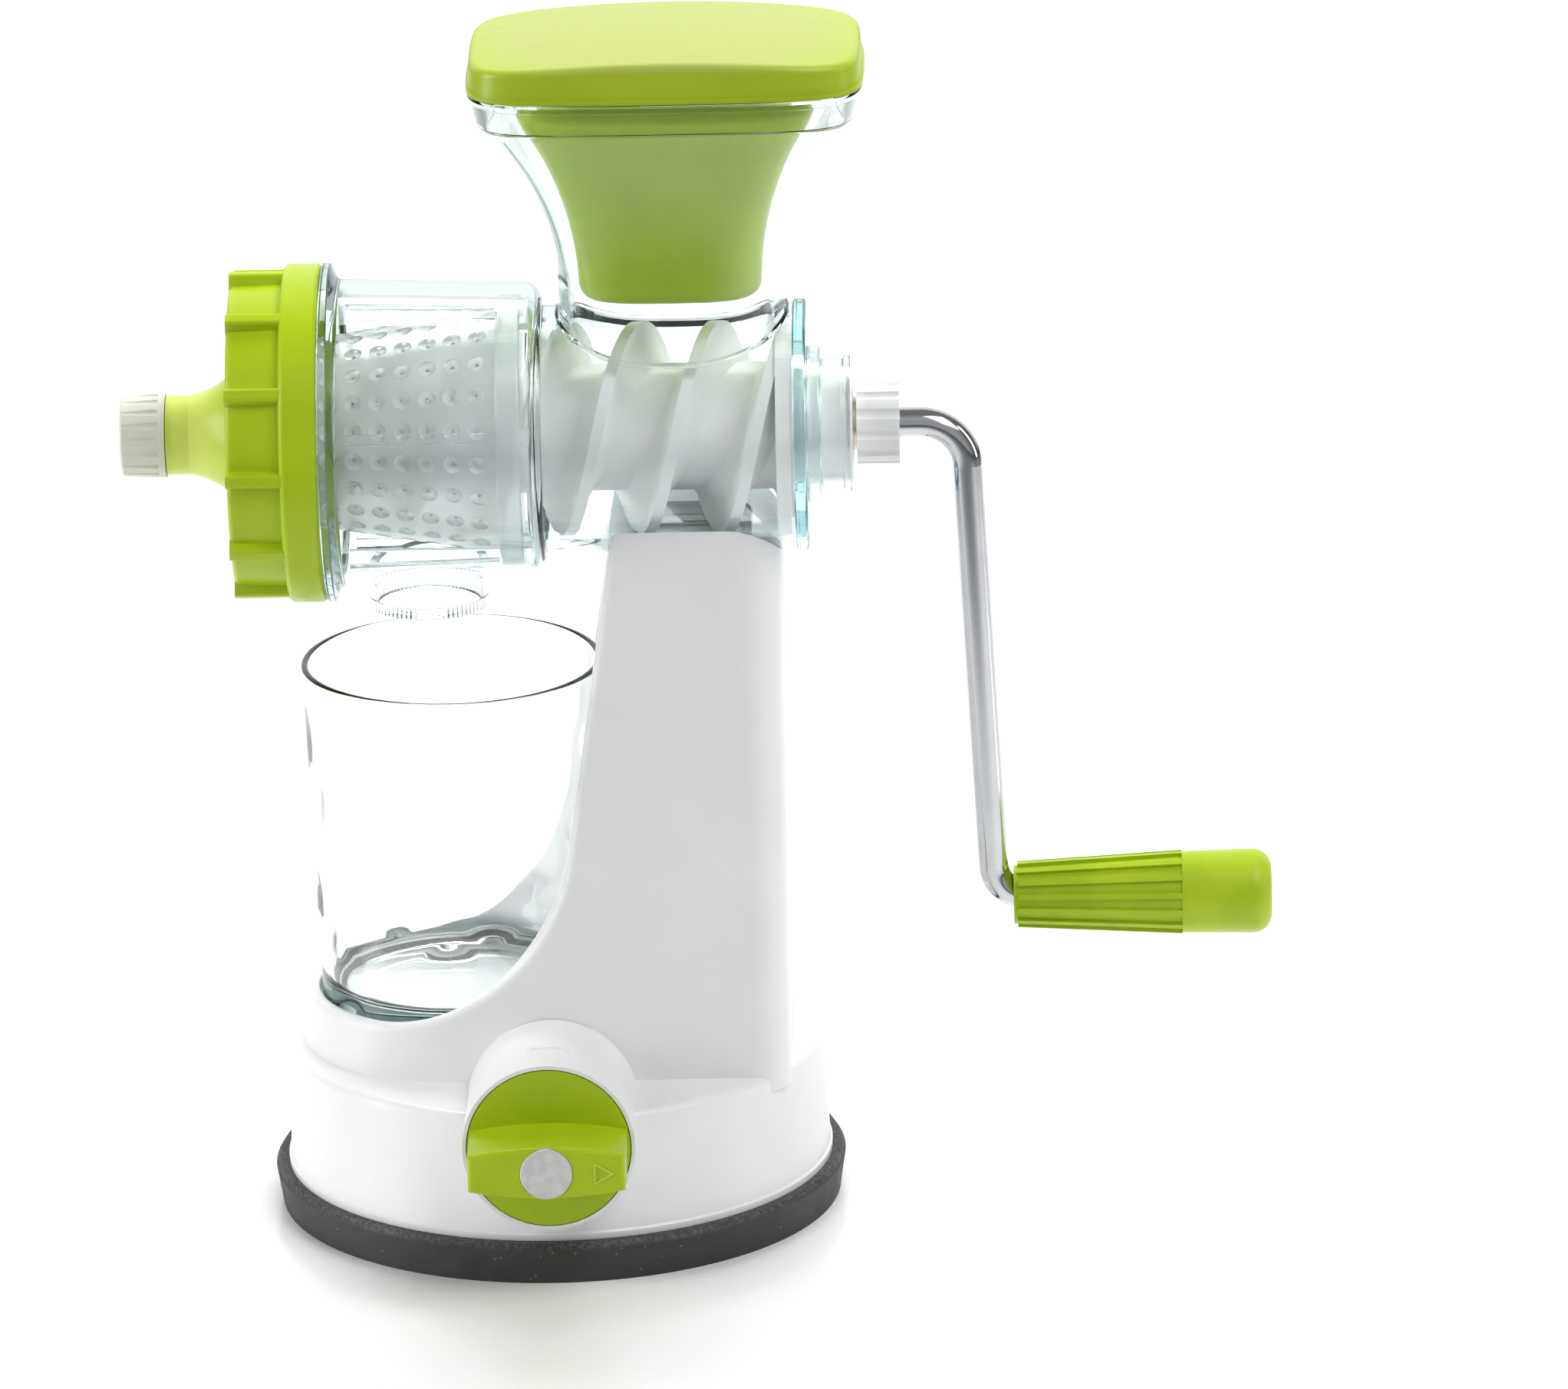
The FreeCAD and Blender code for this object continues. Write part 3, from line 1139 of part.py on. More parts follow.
def strainer_holes(s):
    """Every countersunk hole of the strainer as one tool, about the auger axis."""
    slope = float(s.strainer_radius - s.strainer_end_radius)
    length = float(s.strainer_left - s.strainer_right - s.strainer_flange)
    outward = Vector(-slope, 0, length).normalize()
    wall = float(s.strainer_wall)
    inner, outer = float(s.strainer_hole_inside), float(s.strainer_hole_outside)
    widening = (outer - inner) / wall
    overcut = OVERCUT / 4
    row = []
    for index in range(int(float(s.strainer_holes))):
        left = float(s.strainer_hole_first) + float(s.strainer_hole_pitch) * index
        share = (left - float(s.strainer_right + s.strainer_flange)) / length
        foot = Vector(-left, 0, float(s.strainer_radius) - slope * share)
        row.append(Part.makeCone(inner, outer + widening * overcut, wall + overcut, foot - outward * wall,
                                 outward))
    rows = int(float(s.strainer_hole_rows))
    turned_rows = []
    for index in range(rows):
        for cone in row:
            hole = cone.copy()
            hole.rotate(Vector(0, 0, 0), Vector(1, 0, 0), FULL_TURN * (index + 0.5) / rows)
            turned_rows.append(hole)
    return Part.makeCompound(turned_rows)


def make_strainer(document, s):
    """Clear cone with countersunk holes around the auger's nose, and a seating flange."""
    body = new_body(document, "strainer_blank", z=s.axis_height)
    flange_left = s.strainer_right + s.strainer_flange
    wall = s.strainer_wall
    cone = sketch(body, "XZ_Plane", [[
        (-s.strainer_right, s.strainer_radius - wall), (-s.strainer_right, s.strainer_flange_radius),
        (-flange_left, s.strainer_flange_radius), (-flange_left, s.strainer_radius),
        (-s.strainer_left, s.strainer_end_radius), (-s.strainer_left, s.strainer_end_radius - wall),
        (-flange_left, s.strainer_radius - wall)]])
    spin(body, cone, "H_Axis")
    half = s.strainer_key_width / 2
    key_top = s.chamber_right_radius - s.chamber_round - s.seat_clearance
    key_foot = key_top - s.strainer_key_height
    key = sketch(body, "YZ_Plane", [[(-half, key_foot), (half, key_foot), (half, key_top),
                                     (-half, key_top)]], offset=-s.strainer_right)
    turn_to_rail(key, s)
    keys = extrude(body, key, s.strainer_right + s.drum_left - s.clear_wall - s.seat_clearance)
    around(body, [keys], s.rail_count, role="X_Axis")
    holes = free_piece(document, "strainer_holes", strainer_holes(s))
    bind(holes, "Placement.Base.z", s.axis_height)
    pierced = document.addObject("Part::Cut", "strainer")
    pierced.Label = "strainer"
    pierced.Base = body
    pierced.Tool = holes
    return pierced


# ---------------------------------------------------------------- auger and crank

def polar_point(radius, angle):
    """A point of the plane across the auger. The angle is in radians from +Y toward +Z."""
    return Vector(0, radius * math.cos(angle), radius * math.sin(angle))


def flight_half_angle(s, radius, edge):
    """Half the angle that a flight covers at a radius: broad at the core, narrow at its edge."""
    share = (edge - radius) / (edge - float(s.auger_core))
    tip, base = float(s.auger_tip_width) / 2, float(s.auger_root_width) / 2
    return 2 * math.pi * (tip + (base - tip) * share ** float(s.auger_hollow)) / float(s.auger_lead)


def flight_flank(s, middle, side, edge):
    """One hollow flank of a flight, from the core out to its edge."""
    core = float(s.auger_core)
    steps = 6
    radii = [core + (edge - core) * step / steps for step in range(steps + 1)]
    points = [polar_point(radius, middle + side * flight_half_angle(s, radius, edge)) for radius in radii]
    return points if side < 0 else points[::-1]


def auger_section(s, x, edge):
    """Outline across the auger at x: its core with one lobe for each flight, out to the edge radius."""
    core = float(s.auger_core)
    starts = int(float(s.auger_starts))
    phase = math.pi / 2 - 2 * math.pi * (x - float(s.auger_phase)) / float(s.auger_lead)
    edges = []
    for start in range(starts):
        middle = phase + 2 * math.pi * start / starts
        following = middle + 2 * math.pi / starts
        rise, fall = (flight_flank(s, middle, side, edge) for side in (-1, 1))
        for points in (rise, fall):
            curve = Part.BSplineCurve()
            curve.interpolate(points)
            edges.append(curve.toShape())
        edges.append(Part.Arc(rise[-1], polar_point(edge, middle), fall[0]).toShape())
        first = middle + flight_half_angle(s, core, edge)
        last = following - flight_half_angle(s, core, edge)
        between = polar_point(core, (first + last) / 2)
        edges.append(Part.Arc(fall[-1], between, polar_point(core, last)).toShape())
    section = Part.Wire(Part.__sortEdges__(edges))
    section.translate(Vector(x, 0, 0))
    return section


def twisted_screw(s, right, left, right_edge, left_edge):
    """The auger's section drawn along X while it turns left-handed with the lead."""
    guide = Part.makeHelix(float(s.auger_lead), right - left, 2 * right_edge, 0, True)
    guide.rotate(Vector(0, 0, 0), Vector(0, 1, 0), -90)
    guide.translate(Vector(right, 0, 0))
    axis = Part.Wire(Part.makeLine(Vector(right, 0, 0), Vector(left, 0, 0)))
    sweep = Part.BRepOffsetAPI.MakePipeShell(axis)
    sweep.setAuxiliarySpine(Part.Wire(guide.Edges), True, 0)
    sweep.add(auger_section(s, right, right_edge))
    if left_edge != right_edge:
        sweep.add(auger_section(s, left, left_edge))
    sweep.build()
    sweep.makeSolid()
    return sweep.shape()


def make_auger(document, s):
    """Two-start left-handed screw with a tapered end, a blunt nose and a bearing journal."""
    stations = [(s.auger_disc_left, s.auger_radius), (s.auger_taper_right, s.auger_radius),
                (s.auger_tip_length - s.auger_nose_left, s.auger_nose_radius)]
    pieces = []
    for (right, right_edge), (left, left_edge) in zip(stations, stations[1:]):
        stretch = twisted_screw(s, float(right), float(left), float(right_edge), float(left_edge))
        pieces.append(free_piece(document, "auger_flights", stretch))
        bind(pieces[-1], "Placement.Base.z", s.axis_height)

    flights_end = s.auger_tip_length - s.auger_nose_left
    nose = new_body(document, "auger_nose", z=s.axis_height)
    cone = sketch(nose, "XZ_Plane", [[
        (flights_end, 0), (flights_end, s.auger_core), (-s.auger_nose_left, s.auger_tip_radius),
        (-s.auger_nose_left, 0)]])
    spin(nose, cone, "H_Axis")
    rear = new_body(document, "auger_rear", z=s.axis_height)
    profile = sketch(rear, "XZ_Plane", [[
        (s.auger_disc_left, 0), (s.auger_disc_left, s.auger_disc_radius),
        (s.auger_disc_right, s.auger_disc_radius), (s.auger_disc_right, s.journal_radius),
        (s.journal_right, s.journal_radius), (s.journal_right, s.insert_radius),
        (s.insert_left, s.insert_radius), (s.insert_left, 0)]])
    spin(rear, profile, "H_Axis")
    auger = document.addObject("Part::MultiFuse", "auger")
    auger.Label = "auger"
    auger.Shapes = pieces + [nose, rear]
    return auger


def ring_along_x(document, label, s, left, right, inner, outer, height=None):
    """A plain ring about a line along X."""
    body = new_body(document, label, z=height if height is not None else s.axis_height)
    ring = sketch(body, "XZ_Plane", [[(left, inner), (right, inner), (right, outer), (left, outer)]])
    spin(body, ring, "H_Axis")
    return body


def make_crank_nut(document, s):
    """Fluted collar that clamps the crank to the auger."""
    body = new_body(document, "crank_nut", z=s.axis_height)
    blank = sketch(body, "YZ_Plane", circles=[(0, 0, s.nut_radius), (0, 0, s.rod_radius + s.rod_gap)],
                   offset=s.nut_left)
    extrude(body, blank, s.nut_right - s.nut_left)
    flute = sketch(body, "YZ_Plane", offset=s.nut_left - OVERCUT,
                   circles=[(0, s.nut_radius + s.nut_flute_out, s.nut_flute_radius)])
    cut = extrude(body, flute, s.nut_right - s.nut_left + 2 * OVERCUT, kind="Pocket", reverse=True)
    around(body, [cut], s.nut_flutes, role="X_Axis")
    return body


def spindle_start(s):
    """Where the rod runs straight again after its lower bend."""
    bends = s.rod_bend + s.rod_low_bend
    straight = s.crank_radius - bends
    return s.axle_end + (bends + straight * sine(s.arm_lean)) / cosine(s.arm_lean)


def make_crank_rod(document, s):
    """Bent chrome rod: axle, leaning arm and grip spindle."""
    body = new_body(document, "crank_rod", z=s.axis_height)
    across, down = cosine(s.arm_lean), sine(s.arm_lean)
    low = s.rod_low_bend
    spindle = spindle_start(s)
    path = body.newObject("Sketcher::SketchObject", "crank_rod_path")
    path.AttachmentSupport = (origin_part(body, "XZ_Plane"), [""])
    path.MapMode = "FlatFace"
    corners = [(s.insert_left + s.rod_start, 0), (s.axle_end, 0),
               (s.axle_end + s.rod_bend * across, s.rod_bend * down - s.rod_bend, s.rod_bend, -1),
               (spindle - low * across, low - low * down - s.crank_radius),
               (spindle, -s.crank_radius, low, 1), (s.rod_end, -s.crank_radius)]
    draw_open_path(path, corners)
    section = sketch(body, "YZ_Plane", circles=[(0, 0, s.rod_radius)],
                     offset=s.insert_left + s.rod_start)
    rod = add_feature(body, "AdditivePipe", "rod")
    rod.Profile = section
    rod.Spine = path
    return body


def draw_open_path(drawing, corners):
    """Lines and arcs joined end to end, not closed."""
    points = [Vector(float(corner[0]), float(corner[1]), 0) for corner in corners]
    previous = None
    for index in range(1, len(corners)):
        corner = corners[index]
        if len(corner) == 2:
            piece = drawing.addGeometry(Part.LineSegment(points[index - 1], points[index]))
            start, end = 1, 2
        else:
            radius, side = corner[2:]
            piece = drawing.addGeometry(short_arc(points[index - 1], points[index], float(radius), side))
            start, end = (1, 2) if side > 0 else (2, 1)
            hold_radius(drawing, piece, radius)
        if previous is None:
            pin_point(drawing, piece, start, *corners[0][:2])
        else:
            drawing.addConstraint(Sketcher.Constraint("Coincident", *previous, piece, start))
        pin_point(drawing, piece, end, *corner[:2])
        previous = (piece, end)


def make_grip(document, s):
    """Ribbed sleeve that turns on the crank's spindle."""
    height = s.axis_height - s.crank_radius
    body = new_body(document, "grip", z=height)
    bore = s.rod_radius + s.running_gap
    ribs_end = s.grip_small_radius + (s.grip_large_radius - s.grip_small_radius) * s.grip_rib_taper
    mouth_end = spindle_start(s) + BITE
    sleeve = sketch(body, "XZ_Plane", [[
        (mouth_end, bore), (mouth_end, s.rod_radius + s.grip_mouth),
        (s.grip_left, s.rod_radius + s.grip_mouth), (s.grip_left, s.grip_small_radius),
        (s.grip_ribs_right, ribs_end),
        (s.grip_ribs_right, ribs_end + s.grip_band_step), (s.plug_left, s.grip_large_radius),
        (s.plug_left, s.grip_cavity_radius), (s.grip_cavity_left, s.grip_cavity_radius),
        (s.grip_cavity_left, bore)]])
    spin(body, sleeve, "H_Axis")
    half = s.grip_rib_width / 2
    slope = (ribs_end - s.grip_small_radius) / (s.grip_ribs_right - s.grip_left)
    foot = s.grip_small_radius - 2 * BITE
    ribs_start = s.grip_left + s.grip_rib_start
    rib = sketch(body, "XZ_Plane", [[
        (ribs_start, foot), (s.grip_ribs_right, foot), (s.grip_ribs_right, ribs_end + s.grip_rib_height),
        (ribs_start, s.grip_small_radius + slope * s.grip_rib_start + s.grip_rib_height)]])
    ribs = extrude(body, rib, 2 * half, both_ways=True)
    around(body, [ribs], s.grip_rib_count, role="X_Axis")
    return body


def make_grip_plug(document, s):
    """Rounded end that closes the grip."""
    height = s.axis_height - s.crank_radius
    body = new_body(document, "grip_plug", z=height)
    outer = s.grip_large_radius
    spigot = s.grip_cavity_radius - s.screw_gap
    profile = sketch(body, "XZ_Plane", [[
        (s.plug_left - s.plug_spigot, 0), (s.plug_left - s.plug_spigot, spigot), (s.plug_left, spigot),
        (s.plug_left, outer),
        (s.grip_right - s.plug_round, outer), (s.grip_right, outer - s.plug_round, s.plug_round, -1),
        (s.grip_right, 0)]])
    spin(body, profile, "H_Axis")
    return body


# ---------------------------------------------------------------- end cap, adjuster, tumbler

def make_end_cap(document, s):
    """Screw cap with ribs for the hand and a hollow cone to the pulp nozzle."""
    body = new_body(document, "end_cap", z=s.axis_height)
    right = -s.flange_left - s.cap_gap
    inner = s.screw_neck_radius + s.cap_neck_gap
    face = -s.cap_left
    inside_face = face + s.cap_wall
    gasket_seat = -s.neck_left - s.gasket
    inside_radius = s.chamber_left_radius - s.clear_wall
    edge_radius = s.cap_panel_radius - s.cap_panel_draft
    profile = sketch(body, "XZ_Plane", [[
        (right, inner), (right, s.cap_rim_radius - s.cap_rim_bevel),
        (right - s.cap_rim_bevel, s.cap_rim_radius), (s.cap_rim_round - s.cap_rim_left, s.cap_rim_radius),
        (-s.cap_rim_left, s.cap_rim_radius - s.cap_rim_round, s.cap_rim_round, 1),
        (-s.cap_rim_left, s.cap_panel_radius), (face + s.cap_edge_round, edge_radius),
        (face, edge_radius - s.cap_edge_round, s.cap_edge_round, 1), (face, s.cone_radius),
        (-s.nozzle_right, s.nozzle_radius, s.cone_sweep, -1), (-s.nozzle_left, s.nozzle_radius),
        (-s.nozzle_left, s.nozzle_bore), (s.nozzle_bore_end - s.nozzle_right, s.nozzle_bore),
        (inside_face, s.cone_radius - s.cap_wall), (inside_face, inside_radius),
        (gasket_seat, inside_radius), (gasket_seat, inner)]])
    spin(body, profile, "H_Axis")
    half = s.cap_rib_width / 2
    root = half + s.cap_rib_spread
    root_radius = s.cap_panel_radius - s.cap_rib_root
    edge = s.cap_rib_round
    rib = sketch(body, "YZ_Plane", [[
        (-root, root_radius), (root, root_radius), (half, s.cap_rib_radius - edge),
        (half - edge, s.cap_rib_radius, edge, 1), (edge - half, s.cap_rib_radius),
        (-half, s.cap_rib_radius - edge, edge, 1)]], offset=face)
    ribs = extrude(body, rib, s.cap_left - s.cap_rim_left + BITE)
    around(body, [ribs], s.cap_rib_count, role="X_Axis")
    return body


def make_pulp_adjuster(document, s):
    """Fluted outlet that screws in the nozzle and sets how hard the pulp is pressed."""
    body = new_body(document, "pulp_adjuster", z=s.axis_height)
    right = -s.nozzle_left - s.adjuster_gap
    spigot = s.nozzle_bore - s.running_gap
    profile = sketch(body, "XZ_Plane", [[
        (-s.adjuster_left, s.adjuster_bore), (right + s.adjuster_spigot, s.adjuster_bore),
        (right + s.adjuster_spigot, spigot), (right, spigot), (right, s.adjuster_radius),
        (s.adjuster_bevel - s.adjuster_left, s.adjuster_radius - s.adjuster_taper),
        (-s.adjuster_left, s.adjuster_radius - s.adjuster_taper - s.adjuster_bevel)]])
    spin(body, profile, "H_Axis")
    flute = sketch(body, "YZ_Plane", offset=-s.adjuster_left - OVERCUT,
                   circles=[(0, s.adjuster_radius + s.adjuster_flute_out, s.adjuster_flute_radius)])
    length = s.adjuster_left - s.nozzle_left - s.adjuster_collar
    cut = extrude(body, flute, length + OVERCUT, kind="Pocket", reverse=True)
    around(body, [cut], s.adjuster_flutes, role="X_Axis")
    return body


def make_tumbler(document, s):
    """Clear tumbler with a thick bottom."""
    body = new_body(document, "tumbler", x=-s.tumbler_offset, z=s.seat_floor)
    foot, inner = s.tumbler_foot_round, s.tumbler_inner_round
    bore_low, bore_high = (radius - s.tumbler_wall for radius in (s.tumbler_low_radius, s.tumbler_rim_radius))
    lip_height = s.tumbler_height - s.tumbler_lip
    profile = sketch(body, "XZ_Plane", [[
        (0, 0), (s.tumbler_low_radius - foot, 0), (s.tumbler_low_radius, foot, foot, 1),
        (s.tumbler_rim_radius, lip_height), (s.tumbler_rim_radius - s.tumbler_lip, s.tumbler_height),
        (bore_high + s.tumbler_lip, s.tumbler_height), (bore_high, lip_height),
        (bore_low, s.tumbler_base + inner), (bore_low - inner, s.tumbler_base, inner, -1),
        (0, s.tumbler_base)]])
    spin(body, profile, "V_Axis")
    return body


# ---------------------------------------------------------------- the whole part

def build(document, s):
    """Every sub-part, in the order in which it would be laid out on a bench."""
    journal_gap = s.screw_gap
    disc = s.auger_disc_right
    grip_height = s.axis_height - s.crank_radius
    clip_left = s.rod_end - s.grip_clip_thickness - s.grip_clip_inset
    rod = s.rod_radius + s.screw_gap
    return [
        make_suction_pad(document, s), make_base_plate(document, s), make_base_screws(document, s),
        make_lift_stem(document, s), make_stem_spring(document, s), make_cam_shaft(document, s),
        make_shaft_clip(document, s), make_knob(document, s), make_knob_cap(document, s),
        make_knob_screw(document, s), make_stand_shell(document, s), make_juice_chamber(document, s),
        make_auger_drum(document, s), make_feed_hopper(document, s), make_pusher_cup(document, s),
        make_pusher_lid(document, s), make_strainer(document, s), make_auger(document, s),
        ring_along_x(document, "thrust_washer", s, disc, disc + s.washer_thickness,
                     s.journal_radius + journal_gap, s.washer_radius),
        ring_along_x(document, "drive_insert", s, s.insert_left, s.nut_left,
                     s.rod_radius + s.rod_gap, s.insert_radius - s.screw_gap),
        make_crank_nut(document, s), make_crank_rod(document, s), make_grip(document, s),
        ring_along_x(document, "grip_clip", s, clip_left, clip_left + s.grip_clip_thickness,
                     rod, s.grip_clip_radius, height=grip_height),
        make_grip_plug(document, s), make_end_cap(document, s),
        ring_along_x(document, "cap_gasket", s, -s.neck_left - s.gasket, -s.neck_left,
                     s.chamber_left_radius - s.clear_wall, s.screw_neck_radius),
        make_pulp_adjuster(document, s), make_tumbler(document, s)]


def check(document, pieces):
    """Stop if any object failed or any sub-part has no sound shape."""
    for thing in document.Objects:
        if {"Invalid", "Error"} & set(thing.State):
            raise RuntimeError(f"{thing.Label} failed: {thing.State}")
    for piece in pieces:
        if piece.Shape.isNull() or not piece.Shape.isValid() or not piece.Shape.Solids:
            raise RuntimeError(f"{piece.Label} has no sound shape")


def main():
    """Build the document and write each sub-part."""
    document = FreeCAD.newDocument("juicer")
    sizes = Sheet(document)
    document.recompute()
    pieces = build(document, sizes)
    document.recompute()
    check(document, pieces)
    os.makedirs("parts", exist_ok=True)
    for piece in pieces:
        piece.Shape.exportStep(f"parts/{piece.Label}.step")


main()
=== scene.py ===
"""Looks of a hand-cranked table juicer, dressed around its packed construction.

Forms are drawn in millimetres and become meshes in metres, in the frame's own
axes: +Z up, +X along the screw toward the crank, -Y toward the user.
"""

import json
import logging
import math
import random
from collections.abc import Sequence
from dataclasses import dataclass, field
from enum import Enum
from typing import ClassVar

import bmesh
import bpy
from mathutils import Matrix, Vector

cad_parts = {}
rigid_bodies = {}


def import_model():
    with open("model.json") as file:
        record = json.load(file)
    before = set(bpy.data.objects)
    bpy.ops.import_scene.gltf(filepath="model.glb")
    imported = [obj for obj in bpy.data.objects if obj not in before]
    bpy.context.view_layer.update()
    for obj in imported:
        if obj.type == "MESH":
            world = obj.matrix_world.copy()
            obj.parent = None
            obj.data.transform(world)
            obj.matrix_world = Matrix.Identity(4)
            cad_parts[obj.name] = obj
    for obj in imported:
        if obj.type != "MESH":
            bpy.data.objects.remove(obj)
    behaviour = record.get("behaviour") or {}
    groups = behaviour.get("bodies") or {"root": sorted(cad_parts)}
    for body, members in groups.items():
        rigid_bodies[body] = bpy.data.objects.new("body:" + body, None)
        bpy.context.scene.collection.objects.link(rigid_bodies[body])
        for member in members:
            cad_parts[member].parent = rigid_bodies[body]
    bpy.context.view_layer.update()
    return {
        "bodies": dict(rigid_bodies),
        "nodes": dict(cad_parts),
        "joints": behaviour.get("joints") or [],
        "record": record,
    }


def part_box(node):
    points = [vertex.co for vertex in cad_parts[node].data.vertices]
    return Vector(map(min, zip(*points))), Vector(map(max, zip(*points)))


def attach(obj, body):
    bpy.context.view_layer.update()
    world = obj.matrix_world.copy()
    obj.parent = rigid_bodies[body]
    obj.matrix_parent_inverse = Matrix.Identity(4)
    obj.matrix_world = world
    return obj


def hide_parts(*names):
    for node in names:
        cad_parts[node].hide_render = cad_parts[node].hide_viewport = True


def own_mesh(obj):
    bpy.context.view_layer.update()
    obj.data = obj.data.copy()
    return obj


MM = 0.001
FULL_TURN = 2 * math.pi
OVERCUT = 2.0
SAME_PLACE = 1e-7

Point = tuple[float, float]
Corner = tuple[float, float, float]
Place = tuple[float, float, float]
Colour = tuple[float, float, float]
Piece = bpy.types.Object

log = logging.getLogger("juicer")


class Axis(Enum):
    """One of the three axes, by its place in a vector."""

    X = 0
    Y = 1
    Z = 2

    def point(self, along: float, across: float, side: float) -> Vector:
        """Make a point from a place along the axis and two places across it.

        Args:
            along: Place along the axis.
            across: Place along the first of the other two axes.
            side: Place along the second of them.

        Returns:
            The point.
        """
        parts = [across, side]
        parts.insert(self.value, along)
        return Vector(parts)


# ---------------------------------------------------------------- shader graphs

class Wire:
    """An output socket whose arithmetic adds Math nodes to its graph."""

    def __init__(self, graph: "Graph", socket: bpy.types.NodeSocket) -> None:
        """Hold the socket and the graph that it belongs to."""
        self.graph = graph
        self.socket = socket

    def _math(self, operation: str, first: "Value", second: "Value") -> "Wire":
        """Add one Math node.

        Args:
            operation: The Math node's operation.
            first: Its first value.
            second: Its second value.

        Returns:
            The node's result.
        """
        return self.graph.add("ShaderNodeMath", {"operation": operation}, {0: first, 1: second})

    def __add__(self, other: "Value") -> "Wire":
        """Sum."""
        return self._math("ADD", self, other)

    def __radd__(self, other: "Value") -> "Wire":
        """Sum, with the number first."""
        return self._math("ADD", other, self)

    def __sub__(self, other: "Value") -> "Wire":
        """Difference."""
        return self._math("SUBTRACT", self, other)

    def __rsub__(self, other: "Value") -> "Wire":
        """Difference, with the number first."""
        return self._math("SUBTRACT", other, self)

    def __mul__(self, other: "Value") -> "Wire":
        """Product."""
        return self._math("MULTIPLY", self, other)

    def __rmul__(self, other: "Value") -> "Wire":
        """Product, with the number first."""
        return self._math("MULTIPLY", other, self)

    def below(self, threshold: float) -> "Wire":
        """One where the value is under the threshold, else zero."""
        return self._math("LESS_THAN", self, threshold)

    def between(self, low: float, high: float) -> "Wire":
        """The value's smooth place between two limits, from zero to one.

        Args:
            low: Value that gives zero.
            high: Value that gives one, which may be the lower of the two.

        Returns:
            The place.
        """
        return self.graph.add("ShaderNodeMapRange", {"interpolation_type": "SMOOTHSTEP"},
                              {"Value": self, "From Min": low, "From Max": high})


Value = Wire | float


class Graph:
    """The node tree of one material or world."""

    def __init__(self, tree: bpy.types.NodeTree) -> None:
        """Start from an empty tree."""
        self.tree = tree
        tree.nodes.clear()

    def node(self, kind: str, settings: dict | None = None, inputs: dict | None = None) -> bpy.types.Node:
        """Add any node.

        Args:
            kind: The node's type name.
            settings: Its properties, set before its sockets.
            inputs: Its sockets by name or index, each given a number, a colour or a Wire.

        Returns:
            The new node.
        """
        made = self.tree.nodes.new(kind)
        for name, value in (settings or {}).items():
            setattr(made, name, value)
        for key, value in (inputs or {}).items():
            target = made.inputs[key]
            if isinstance(value, Wire):
                self.tree.links.new(value.socket, target)
            elif isinstance(value, tuple) and target.type == "RGBA":
                target.default_value = (*value, 1.0)
            else:
                target.default_value = value
        return made

    def add(self, kind: str, settings: dict | None = None, inputs: dict | None = None,
            output: int | str = 0) -> Wire:
        """Add a node and take one of its outputs.

        Args:
            kind: The node's type name.
            settings: Its properties.
            inputs: Its sockets' values or links.
            output: The output's name or index.

        Returns:
            That output.
        """
        return Wire(self, self.node(kind, settings, inputs).outputs[output])

    def place(self) -> Wire:
        """Position on the object, in metres of the frame."""
        return self.add("ShaderNodeTexCoord", output="Object")

    def split(self, vector: Wire) -> list[Wire]:
        """The three parts of a vector."""
        node = self.node("ShaderNodeSeparateXYZ", None, {0: vector})
        return [Wire(self, output) for output in node.outputs]

    def noise(self, size: float, detail: float = 3.0, stretch: Place = (1.0, 1.0, 1.0)) -> Wire:
        """Smooth random value from zero to one.

        Args:
            size: Width of its patches, in millimetres.
            detail: How many finer layers it has.
            stretch: Extra scale along each axis.

        Returns:
            The value.
        """
        place = self.add("ShaderNodeVectorMath", {"operation": "MULTIPLY"}, {0: self.place(), 1: stretch})
        return self.add("ShaderNodeTexNoise", None,
                        {"Vector": place, "Scale": 1 / (size * MM), "Detail": detail})

    def specks(self, spacing: float, share: float, rim: Point = (0.12, 0.3)) -> Wire:
        """Round specks in a share of the cells of a random grid.

        Args:
            spacing: Distance between cells, in millimetres.
            share: Share of the cells that hold a speck, zero to one.
            rim: Where a speck begins to fade and where it has ended, in cells from its middle.

        Returns:
            One inside a speck, zero outside.
        """
        cell = self.node("ShaderNodeTexVoronoi", {"feature": "F1"},
                         {"Vector": self.place(), "Scale": 1 / (spacing * MM)})
        chosen = self.add("ShaderNodeSeparateColor", None, {0: Wire(self, cell.outputs["Color"])})
        near = 1 - Wire(self, cell.outputs["Distance"]).between(*rim)
        return near * chosen.below(share)

    def mix(self, share: Value, first: Colour | Wire, second: Colour | Wire) -> Wire:
        """Blend two colours, from the first at zero to the second at one."""
        return self.add("ShaderNodeMix", {"data_type": "RGBA"}, {0: share, 6: first, 7: second}, output=2)

    def bump(self, height: Wire, distance: float) -> Wire:
        """Normal raised by a height value.

        Args:
            height: The height, zero to one.
            distance: What a height of one stands for, in millimetres.

        Returns:
            The normal.
        """
        return self.add("ShaderNodeBump", None, {"Height": height, "Distance": distance * MM})

    def close(self, shader: dict, volume: Wire | None = None) -> None:
        """Add the principled shader and the output.

        Args:
            shader: The shader's sockets.
            volume: What fills the solid, if anything.
        """
        ends = {"Surface": self.add("ShaderNodeBsdfPrincipled", None, shader)}
        if volume is not None:
            ends["Volume"] = volume
        self.node("ShaderNodeOutputMaterial", None, ends)


# ---------------------------------------------------------------- finishes

@dataclass(frozen=True)
class Finish:
    """One material, painted from a few numbers."""

    name: str

    def make(self) -> bpy.types.Material:
        """Build the material.

        Returns:
            The material.
        """
        material = bpy.data.materials.new(self.name)
        material.use_nodes = True
        self.paint(Graph(material.node_tree))
        return material

    def paint(self, graph: Graph) -> None:
        """Fill the material's empty graph.

        Args:
            graph: The material's empty graph.
        """
        raise NotImplementedError


